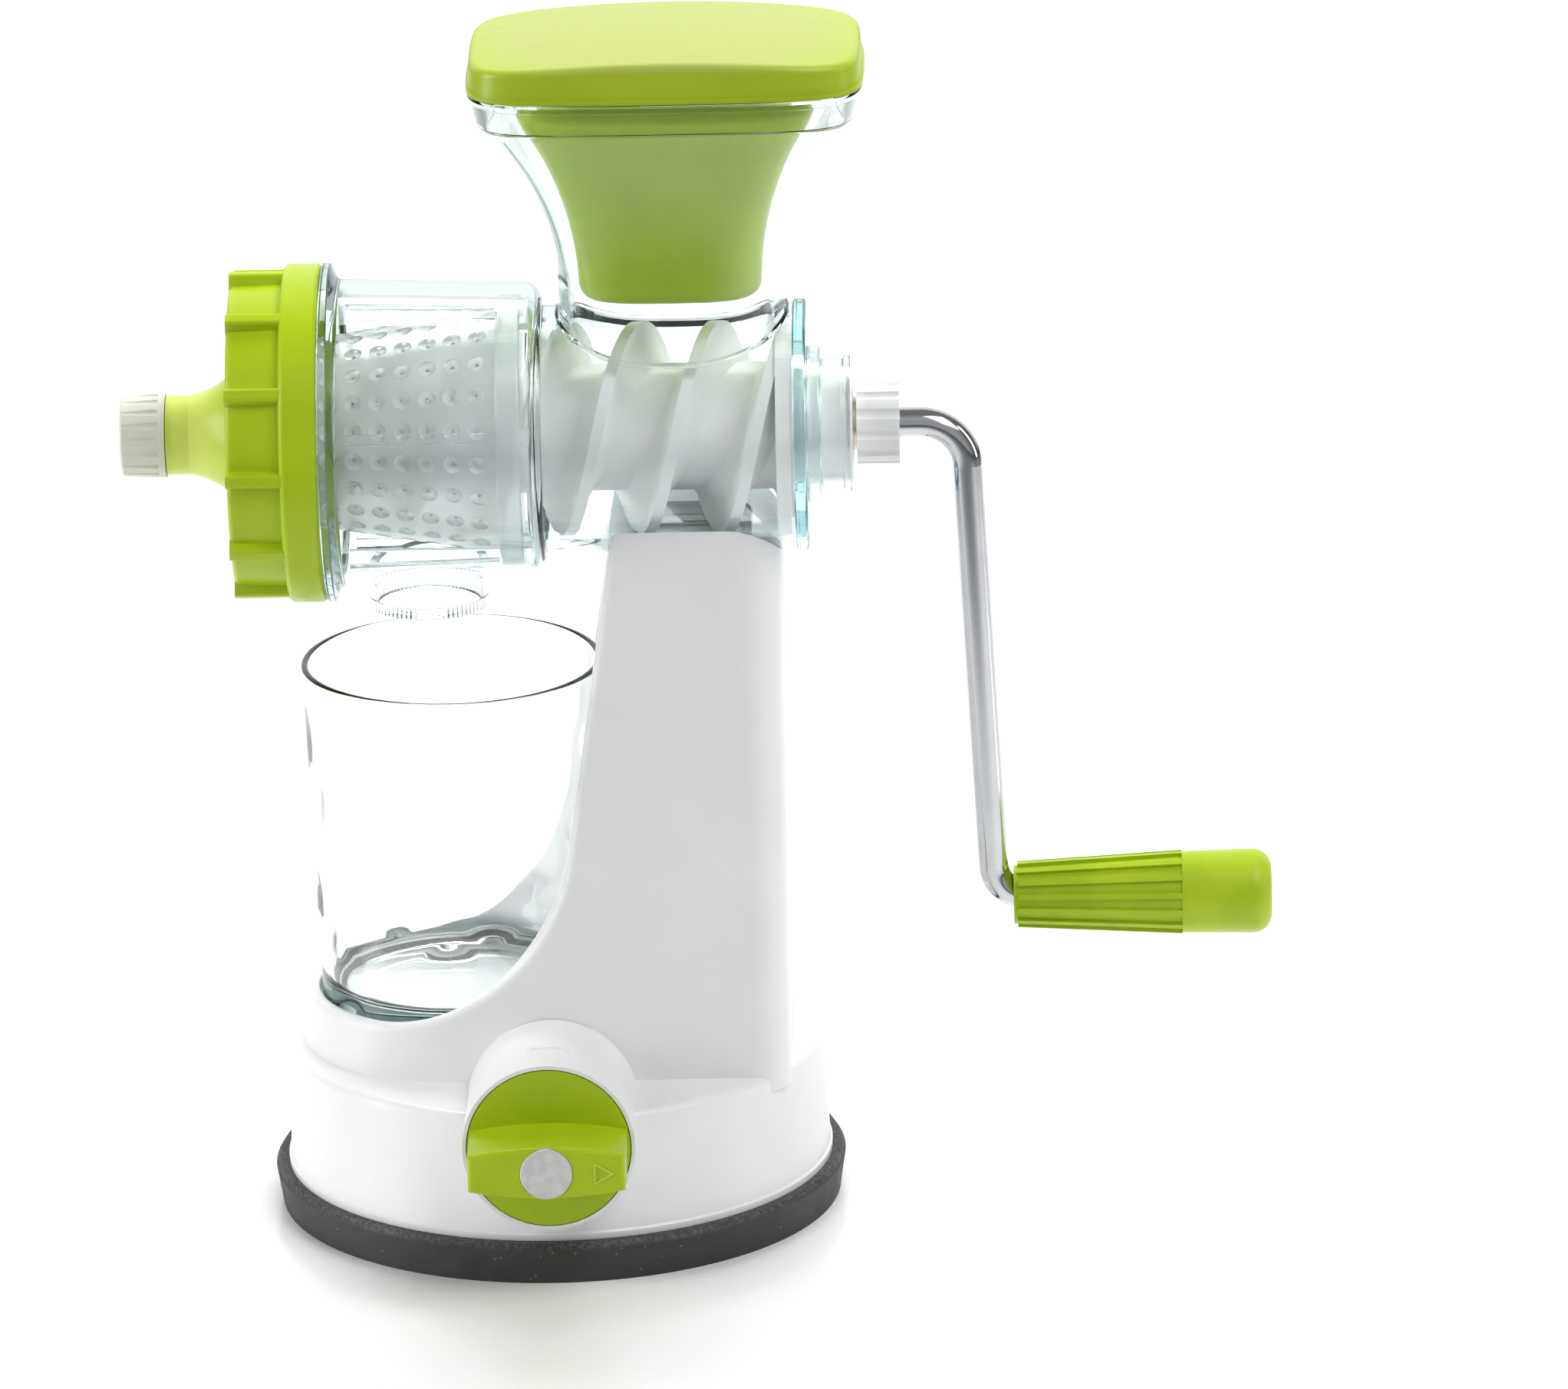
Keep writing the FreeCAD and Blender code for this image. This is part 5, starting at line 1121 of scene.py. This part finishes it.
    def spout_bore(self, high: float) -> Piece:
        """Hollow of the juice spout, finely notched around its mouth.

        Args:
            high: Height of its upper end.

        Returns:
            The solid.
        """
        radius = self.spout_radius - self.spout_wall
        notch_height, notch_depth = self.notch
        segments = 2 * self.notches
        low, top = self.spout_low - OVERCUT, self.spout_low + notch_height
        outline = [(low, 0), (low, radius), (top, radius), (top + self.notch_fade, radius),
                   (high, radius), (high, 0)]
        bore = turned("spout_bore", outline, Axis.Z, Vector((self.spout_at, 0, 0)), segments)
        for vertex in bore.data.vertices:
            across, side = vertex.co.x / MM - self.spout_at, vertex.co.y / MM
            place = round(math.atan2(side, across) / FULL_TURN * segments)
            notched = vertex.co.z < (top + self.notch_fade / 2) * MM
            if place % 2 and notched and math.hypot(across, side) > radius / 2:
                grown = 1 + notch_depth / radius
                vertex.co.x = (self.spout_at + across * grown) * MM
                vertex.co.y = side * grown * MM
        return bore

    def rails(self) -> list[Piece]:
        """Ribs along the inside of the chamber.

        Returns:
            The ribs.
        """
        inside, outside = (radius - self.wall for radius in self.chamber_radii)
        half, height = self.rail_size[0] / 2, self.rail_size[1]
        outline = rounded([
            (-half, inside - height, 0.5), (half, inside - height, 0.5),
            (half, outside + self.rail_root, 0), (-half, outside + self.rail_root, 0)], steps=4)
        return bars("rail", outline, self.rail_ends, self.rail_count, self.rail_turn, self.centre() * MM)

    def add_pieces(self) -> None:
        """Make the moulding and put it on the head."""
        bottom = self.axis_height - self.drum_radius
        chamber_bottom = self.axis_height - self.chamber_radii[0]
        moulding = combined(self.drum(), [
            self.chamber(), self.hopper(0.0, self.axis_height, self.tray_outside()), self.weld(),
            self.foot_block(0.0, self.foot_low, bottom + self.drum_radius / 2),
            self.spout(chamber_bottom + 2 * self.wall)], Join.ADD)
        combined(moulding, [
            self.drum_bore(), self.chamber_bore(),
            self.hopper(self.wall, self.axis_height - self.overrun, self.tray_inside()),
            self.foot_block(self.wall, self.foot_low - OVERCUT, bottom - self.foot_roof),
            self.spout_bore(chamber_bottom + self.wall + self.spout_reach)], Join.CUT)
        combined(moulding, self.rails(), Join.ADD)
        self.shop.fit(smoothed(moulding), "head", "clear_moulding",
                      "auger_drum", "juice_chamber", "feed_hopper")


@dataclass
class Tumbler(Assembly):
    """Clear tumbler with round dimples and a thick bottom."""

    low_radius: float = 36.5
    wall: float = 1.7
    base: float = 6.0
    foot_height: float = 2.0
    foot_ring: tuple[Point, ...] = ((0.9, 8.0), (0.0, 6.5), (0.0, 2.2), (0.25, 1.2), (0.9, 0.35))
    bowl_height: float = 5.0
    bowl_start: float = 4.5
    bowl_lean: float = 0.3
    bowl_round: float = 4.0
    lip_height: float = 0.9
    lip_lead: float = 1.0
    lip_round: float = 0.8
    rows_of_points: int = 110
    points_around: int = 360
    dimple_radius: float = 9.5
    dimple_depth: float = 0.8
    dimple_low: float = 15.0
    dimple_rise: float = 19.5
    dimple_rows: int = 4
    dimples_around: int = 8
    turn_scatter: float = 0.14
    height_scatter: float = 4.0
    plain_ends: Point = (4.0, 5.0)
    inner_share: float = 0.6
    margin: float = 0.1
    crease: float = 50.0
    seed: int = 7
    middle: Vector = field(init=False)
    height: float = field(init=False)
    rim_radius: float = field(init=False)

    def __post_init__(self) -> None:
        """Take the tumbler's place and outer size from the construction."""
        low, high = self.shop.span("tumbler")
        self.middle = Vector(((low.x + high.x) / 2, 0, low.z))
        self.height = high.z - low.z
        self.rim_radius = high.y

    def dimples(self) -> list[Point]:
        """Angle and height of every dimple, scattered about a loose grid.

        Returns:
            The angles, in radians, and heights over the tumbler's bottom.
        """
        rng = random.Random(self.seed)
        places = []
        for row in range(self.dimple_rows):
            height = self.dimple_low + self.dimple_rise * row
            for column in range(self.dimples_around):
                turn = FULL_TURN * (column + 0.5 * (row % 2)) / self.dimples_around
                places.append((turn + rng.uniform(-self.turn_scatter, self.turn_scatter),
                               height + rng.uniform(-self.height_scatter, self.height_scatter)))
        return places

    def outer_radius(self, height: float) -> float:
        """Outer radius at a height over the tumbler's bottom."""
        share = (height - self.foot_height) / (self.height - self.foot_height)
        return self.low_radius + (self.rim_radius - self.low_radius) * share

    def outline(self) -> list[Point]:
        """Section of the tumbler, with many points up both its sides.

        Returns:
            Its points, as heights over the bottom and radii.
        """
        top, floor, steps = self.height, self.base, self.rows_of_points
        foot = [(self.foot_ring[0][0], 0)] + [(height, self.low_radius - back)
                                              for height, back in self.foot_ring]
        run = top - self.lip_height - self.foot_height
        heights = [self.foot_height + run * step / steps for step in range(steps + 1)]
        outside = [(height, self.outer_radius(height)) for height in heights]
        inside = [(height, self.outer_radius(height) - self.wall) for height in reversed(heights)
                  if height > floor + self.bowl_height]
        rim, rim_inside = self.rim_radius, self.rim_radius - self.wall
        lip_low = top - self.lip_lead
        lip = rounded([(lip_low, rim, 0), (top, rim, self.lip_round),
                       (top, rim_inside, self.lip_round), (lip_low, rim_inside, 0)])[1:-1]
        inner_low = self.outer_radius(floor + self.bowl_height) - self.wall
        bowl = rounded([(floor + self.bowl_start, inner_low, 0),
                        (floor, inner_low - self.bowl_lean, self.bowl_round), (floor, 0, 0)])
        return foot + outside + lip + inside + bowl

    def pinch(self, local: Vector, places: Sequence[Point]) -> float:
        """Scale that draws a point of the wall toward the axis where a dimple reaches it.

        Args:
            local: The point, measured from the middle of the tumbler's bottom.
            places: Angle and height of every dimple.

        Returns:
            The scale, one outside the dimples.
        """
        reach = math.hypot(local.x, local.y)
        turn = math.atan2(local.y, local.x)
        inward = 0.0
        for angle, height in places:
            around = math.remainder(turn - angle, FULL_TURN) * reach
            distance = math.hypot(around, local.z - height) / self.dimple_radius
            if distance < 1:
                inward = max(inward, self.dimple_depth * (1 - distance ** 2) ** 2)
        share = 1.0 if reach > self.outer_radius(local.z) - self.wall / 2 else self.inner_share
        return 1 - share * inward / reach

    def add_pieces(self) -> None:
        """Make the tumbler and press its dimples."""
        tumbler = turned("tumbler_glass", self.outline(), Axis.Z, self.middle, self.points_around)
        places = self.dimples()
        plain_low, plain_high = self.plain_ends
        for vertex in tumbler.data.vertices:
            local = vertex.co / MM - self.middle
            wall_from = self.outer_radius(local.z) - self.wall - self.margin
            if (not plain_low < local.z < self.height - plain_high
                    or math.hypot(local.x, local.y) < wall_from):
                continue
            scale = self.pinch(local, places)
            vertex.co.x = (self.middle.x + local.x * scale) * MM
            vertex.co.y = (self.middle.y + local.y * scale) * MM
        self.shop.fit(smoothed(tumbler, self.crease), "glass", "clear_tumbler", "tumbler")


@dataclass
class Strainer(Assembly):
    """Frosted cone covered with round dimples, each with a small hole in its middle."""

    flange: Point = (2.7, 8.7)
    right_radius: float = 32.0
    left_radius: float = 21.5
    wall: float = 2.1
    rows: int = 22
    holes: int = 8
    hole_ends: Point = (-15.0, -60.0)
    hole_sides: int = 24
    dimple: tuple[Point, ...] = ((0.4, 2.5), (0.0, 2.35), (-0.45, 1.9), (-0.8, 1.2), (-1.0, 0.5),
                                 (-2.6, 0.5))
    key_count: int = 6
    key_turn: float = 13.4
    key_top: float = 32.8
    key_size: Point = (4.0, 2.6)
    key_root: float = 0.5
    axis_height: float = field(init=False)
    left: float = field(init=False)
    right: float = field(init=False)
    flange_radius: float = field(init=False)

    def __post_init__(self) -> None:
        """Take the strainer's ends from the construction."""
        low, high = self.shop.span("strainer")
        self.left, self.right, self.flange_radius = low.x, high.x, high.z - (low.z + high.z) / 2
        self.axis_height = (low.z + high.z) / 2

    def hole_tool(self) -> Piece:
        """All dimples and holes as one cutting tool.

        Returns:
            The solid.
        """
        sides = self.hole_sides
        first, last = self.hole_ends
        run = self.right - self.flange[1] - self.left
        slope = math.atan2(self.right_radius - self.left_radius, run)
        out = Vector((-math.sin(slope), 0, math.cos(slope)))
        across = Vector((math.cos(slope), 0, math.sin(slope)))
        points: list[Vector] = []
        faces: list[list[int]] = []
        for row in range(self.rows):
            turn = Matrix.Rotation(FULL_TURN * (row + 0.5) / self.rows, 3, "X")
            for hole in range(self.holes):
                x = first + (last - first) * hole / (self.holes - 1)
                radius_here = self.left_radius + (x - self.left) * math.tan(slope)
                rings = []
                for depth, radius in self.dimple:
                    middle = Vector((x, 0, radius_here)) + out * depth
                    rings.append([
                        Vector((0, 0, self.axis_height)) + turn @ (
                            middle + across * (radius * math.cos(FULL_TURN * side / sides))
                            + Vector((0, radius * math.sin(FULL_TURN * side / sides), 0)))
                        for side in range(sides)])
                made, skins = skin(rings)
                start = len(points)
                points.extend(made)
                faces.extend([start + index for index in face] for face in skins)
        return new_piece("strainer_holes", points, faces)

    def keys(self) -> list[Piece]:
        """Blocks on the flange that fit between the chamber's rails.

        Returns:
            The blocks.
        """
        half, low, high = self.key_size[0] / 2, self.key_top - self.key_size[1], self.key_top
        block = rounded([(-half, low, 0.4), (half, low, 0.4), (half, high, 0.4), (-half, high, 0.4)],
                        steps=4)
        ends = (self.right - self.flange[0] - self.key_root, self.right)
        return bars("key", block, ends, self.key_count, self.key_turn,
                    Vector((0, 0, self.axis_height * MM)))

    def add_pieces(self) -> None:
        """Make the strainer and put it in the head."""
        flange_right, flange_left = (self.right - back for back in self.flange)
        inner = self.right_radius - self.wall
        outline = rounded([
            (flange_right, inner, 0.4), (flange_right, self.flange_radius, 0.6),
            (flange_left, self.flange_radius, 0.6), (flange_left, self.right_radius, 0.4),
            (self.left, self.left_radius, 0.5), (self.left, self.left_radius - self.wall, 0.3),
            (flange_left, inner, 0)], steps=4)
        cone = turned("strainer_cone", outline, Axis.X, Vector((0, 0, self.axis_height)))
        combined(cone, [self.hole_tool()], Join.CUT)
        combined(cone, self.keys(), Join.ADD)
        self.shop.fit(smoothed(cone), "head", "clear_strainer", "strainer")


@dataclass
class VacuumFoot(Assembly):
    """Rubber foot with its lip, and the parts inside the skirt."""

    kept = {
        "foot_rubber": ("suction_pad",),
        "white_trim": ("base_plate", "lift_stem"),
        "steel_small": ("base_screws", "shaft_clip", "cam_shaft")}
    wire_radius: float = 0.7
    coils: float = 4.5
    steps_per_coil: int = 32
    stem_travel: float = 4.0

    def add_pieces(self) -> None:
        """Coil the stem's spring."""
        low, high = self.shop.span("stem_spring")
        start, end = low.z + self.wire_radius, high.z - self.wire_radius
        coil_radius = (high.y - low.y) / 2 - self.wire_radius
        steps = round(self.coils * self.steps_per_coil)
        path = []
        for step in range(steps + 1):
            turn = FULL_TURN * self.coils * step / steps
            path.append(Vector((coil_radius * math.cos(turn), coil_radius * math.sin(turn),
                                start + (end - start) * step / steps)))
        coil = smoothed(swept("return_spring", path, self.wire_radius))
        self.shop.fit(coil, "stand", "steel_small", "stem_spring")
        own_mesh(coil)


@dataclass
class Stand(Assembly):
    """White stand with the raised double arrow over its knob."""

    kept = {"white_shell": ("stand_shell",)}
    boss_radius: float = 22.4
    axis_height: float = 38.0
    arrow_y: float = -62.0
    arrow_reach: float = 14.0
    arrow_barb: Point = (4.0, 1.4)
    arrow_line: float = 0.25
    arrow_steps: int = 12

    def on_boss(self, turn: float, y: float) -> Vector:
        """Point on the boss.

        Args:
            turn: How far it is turned from the boss's top, in degrees.
            y: Its place along the boss.

        Returns:
            The point.
        """
        angle = math.radians(turn)
        return Vector((self.boss_radius * math.sin(angle), y,
                       self.axis_height + self.boss_radius * math.cos(angle)))

    def barb(self, end: int) -> Piece:
        """Head at one end of the arrow.

        Args:
            end: Minus one for the left end, one for the right end.

        Returns:
            The solid.
        """
        back, aside = self.arrow_barb
        tip, root = end * self.arrow_reach, end * (self.arrow_reach - back)
        path = [self.on_boss(root, self.arrow_y - aside), self.on_boss(tip, self.arrow_y),
                self.on_boss(root, self.arrow_y + aside)]
        return swept("arrow_barb", path, self.arrow_line)

    def add_pieces(self) -> None:
        """Make the arrow, which points both ways around the boss."""
        steps = self.arrow_steps
        path = [self.on_boss(self.arrow_reach * (2 * step / steps - 1), self.arrow_y)
                for step in range(steps + 1)]
        shaft = swept("knob_arrow", path, self.arrow_line)
        arrow = combined(shaft, [self.barb(end) for end in (-1, 1)], Join.ADD)
        self.shop.fit(smoothed(arrow), "stand", "white_shell")


@dataclass
class Knob(Assembly):
    """Green knob with its bar, the disc over its screw and a pointer."""

    kept = {"green_shell": ("knob",), "grey_white": ("knob_cap",), "steel_small": ("knob_screw",)}
    axis_height: float = 38.0
    face: float = -96.0
    mark_at: float = 14.0
    mark_size: float = 3.5
    mark_line: float = 0.45
    mark_proud: float = 0.3
    mark_root: float = 0.4

    def triangle(self, size: float) -> list[Point]:
        """Triangle that points to the bar's right end, with its corners at a distance."""
        return [(self.mark_at + size * math.cos(FULL_TURN * corner / 3),
                 self.axis_height + size * math.sin(FULL_TURN * corner / 3)) for corner in range(3)]

    def add_pieces(self) -> None:
        """Make the pointer, a raised outline of a triangle."""
        front, back = self.face - self.mark_proud, self.face + self.mark_root
        pointer = drawn("knob_pointer", self.triangle(self.mark_size), Axis.Y, front, back)
        inside = drawn("pointer_inside", self.triangle(self.mark_size - 2 * self.mark_line), Axis.Y,
                       front - OVERCUT, back + OVERCUT)
        combined(pointer, [inside], Join.CUT)
        self.shop.fit(smoothed(pointer), "knob_set", "green_shell")
        self.shop.dress(pointer, "green_mark")


@dataclass
class Screw(Assembly):
    """Auger with the parts on its shaft."""

    kept = {"white_screw": ("auger",), "soft_seal": ("thrust_washer",), "brass_insert": ("drive_insert",)}


@dataclass
class Crank(Assembly):
    """Chrome crank, its nut and the green grip."""

    kept = {
        "crank_chrome": ("crank_rod",), "white_trim": ("crank_nut",),
        "green_grip": ("grip", "grip_plug"), "steel_small": ("grip_clip",)}


@dataclass
class Pusher(Assembly):
    """Green pusher and its lid."""

    kept = {"green_shell": ("pusher_cup",), "green_lid_painted_sheen": ("pusher_lid",)}


@dataclass
class Cap(Assembly):
    """Green end cap, its gasket and the pulp adjuster."""

    kept = {"green_cap": ("end_cap",), "soft_seal": ("cap_gasket",), "warm_white": ("pulp_adjuster",)}


# ---------------------------------------------------------------- studio

@dataclass(frozen=True)
class PaleFloor(Finish):
    """Glossy white table that darkens to both sides, with painted shade that darkens it toward the viewer and
    to the left.
    """

    middle: float
    paper: Colour = (0.88, 0.88, 0.885)
    paper_light: Colour = (0.90, 0.90, 0.90)
    paper_cloud: float = 300.0
    paper_half: float = 0.45
    paper_fade: float = 2.2
    # painted shade: the paper darkens toward the viewer, leaning to the left, between these places
    front_shade_lean: float = 0.25
    front_shade_edges: Point = (-0.65, -0.12)
    dark: Colour = (0.15, 0.16, 0.17)
    roughness: float = 0.16
    roughness_spread: float = 0.06
    roughness_size: float = 60.0
    dark_roughness: float = 0.6

    def paint(self, graph: Graph) -> None:
        """Paint the paper under the object, the dark table to its sides and the painted shade toward the
        viewer.

        Args:
            graph: The material's empty graph.
        """
        across, depth, _ = graph.split(graph.place())
        aside = across - self.middle
        strip = 1 - (aside * aside).between(self.paper_half ** 2, (self.paper_fade * self.paper_half) ** 2)
        # painted shade toward the viewer and to the left
        before = (depth + self.front_shade_lean * across).between(*self.front_shade_edges)
        paper = graph.mix(graph.noise(self.paper_cloud), self.paper, self.paper_light)
        graph.close({
            "Base Color": graph.mix(strip * before, self.dark, paper),
            "Roughness": (self.roughness + self.roughness_spread * graph.noise(self.roughness_size)
                          + self.dark_roughness * (1 - strip * before))})


@dataclass(frozen=True)
class Softbox:
    """One large soft light that faces the object."""

    name: str
    place: Place
    size: Point
    power: float
    mirrored: bool = True
    aim: Place = (0.04, 0.0, 0.15)

    def hang(self) -> None:
        """Put the light in the scene."""
        light = bpy.data.lights.new(self.name, "AREA")
        light.shape = "RECTANGLE"
        light.size, light.size_y = self.size
        light.energy = self.power
        holder = bpy.data.objects.new(self.name, light)
        holder.location = self.place
        facing = Vector(self.aim) - Vector(self.place)
        holder.rotation_euler = facing.to_track_quat("-Z", "Y").to_euler()
        holder.visible_camera = False
        holder.visible_glossy = self.mirrored
        bpy.context.scene.collection.objects.link(holder)


@dataclass
class Studio:
    """Pale floor, soft light all round and the camera."""

    distance: float = 3.5
    elevation: float = 17.91
    azimuth: float = 1.40
    roll: float = 1.39
    lens: float = 308.34
    sensor: float = 36.0
    sight: float = 100.0
    aim: Place = (0.06158, 0.0, 0.13516)
    floor_half: float = 6.0
    sky_level: float = 0.12
    sky_back: float = 0.9
    sky_back_edges: Point = (0.45, 0.85)
    sky_front: float = 0.3
    sky_front_edges: Point = (0.2, 0.8)
    sky_top: float = 0.1
    sky_top_edges: Point = (0.35, 0.95)
    lights: ClassVar[tuple[Softbox, ...]] = (
        Softbox("key", (0.75, -0.6, 1.3), (0.9, 0.8), 10.5),
        Softbox("back_top", (0.1, 0.9, 1.5), (1.6, 1.0), 32.0, mirrored=False),
        Softbox("left_wall", (-1.6, -0.35, 0.62), (0.7, 1.2), 18.0),
        Softbox("right_wall", (1.7, 0.0, 0.7), (0.35, 1.3), 5.0))
    light_paths: ClassVar[dict[str, float]] = {
        "max_bounces": 28, "transmission_bounces": 24, "glossy_bounces": 8, "diffuse_bounces": 5,
        "transparent_max_bounces": 16, "sample_clamp_indirect": 8.0, "blur_glossy": 0.0}

    def floor(self) -> None:
        """Lay the table."""
        half = self.floor_half / MM
        corners = [Vector((half * x, half * y, 0)) for x, y in ((-1, -1), (1, -1), (1, 1), (-1, 1))]
        floor = new_piece("floor", corners, [[0, 1, 2, 3]])
        floor.data.materials.append(PaleFloor("pale_floor", self.aim[0]).make())

    def sky(self) -> None:
        """Light from behind, above and a little from the front, with dark sides between."""
        world = bpy.data.worlds.new("studio")
        bpy.context.scene.world = world
        world.use_nodes = True
        graph = Graph(world.node_tree)
        _, depth, height = graph.split(graph.add("ShaderNodeTexCoord", output="Generated"))
        behind = depth.between(*self.sky_back_edges)
        ahead = (0 - depth).between(*self.sky_front_edges)
        high = height.between(*self.sky_top_edges)
        level = self.sky_level + behind * self.sky_back + ahead * self.sky_front + high * self.sky_top
        light = graph.add("ShaderNodeBackground", None, {"Color": (1.0, 1.0, 1.0), "Strength": level})
        graph.node("ShaderNodeOutputWorld", None, {"Surface": light})

    def camera(self) -> None:
        """Camera at the viewing angle, rolled so that the table line tilts as it should."""
        azimuth, elevation = math.radians(self.azimuth), math.radians(self.elevation)
        back = Vector((math.sin(azimuth) * math.cos(elevation), -math.cos(azimuth) * math.cos(elevation),
                       math.sin(elevation)))
        right = Vector((math.cos(azimuth), math.sin(azimuth), 0))
        up = back.cross(right)
        turn = math.radians(self.roll)
        rolled_right = right * math.cos(turn) - up * math.sin(turn)
        rolled_up = right * math.sin(turn) + up * math.cos(turn)
        lens = bpy.data.cameras.new("camera")
        lens.lens = self.lens
        lens.sensor_width = self.sensor
        lens.clip_end = self.sight
        holder = bpy.data.objects.new("camera", lens)
        turned_to = Matrix((rolled_right, rolled_up, back)).transposed()
        holder.matrix_world = Matrix.Translation(Vector(self.aim) + back * self.distance) @ turned_to.to_4x4()
        bpy.context.scene.collection.objects.link(holder)
        bpy.context.scene.camera = holder

    def exposure(self) -> None:
        """Plain colour response, and enough light paths for clear walls."""
        scene = bpy.context.scene
        scene.view_settings.view_transform = "Standard"
        scene.view_settings.look = "None"
        for name, value in self.light_paths.items():
            setattr(scene.cycles, name, value)

    def build(self) -> None:
        """Set the studio up."""
        self.floor()
        self.sky()
        for light in self.lights:
            light.hang()
        self.camera()
        self.exposure()


ASSEMBLIES: tuple[type[Assembly], ...] = (
    VacuumFoot, Stand, Knob, ClearHead, Strainer, Screw, Crank, Pusher, Cap, Tumbler)


def main() -> None:
    """Dress the whole juicer around its frame."""
    logging.basicConfig(level=logging.INFO, format="%(name)s: %(message)s")
    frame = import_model()
    shop = Workshop(frame)
    for assembly in ASSEMBLIES:
        assembly(shop).build()
    Studio().build()


if __name__ == "__main__":
    main()
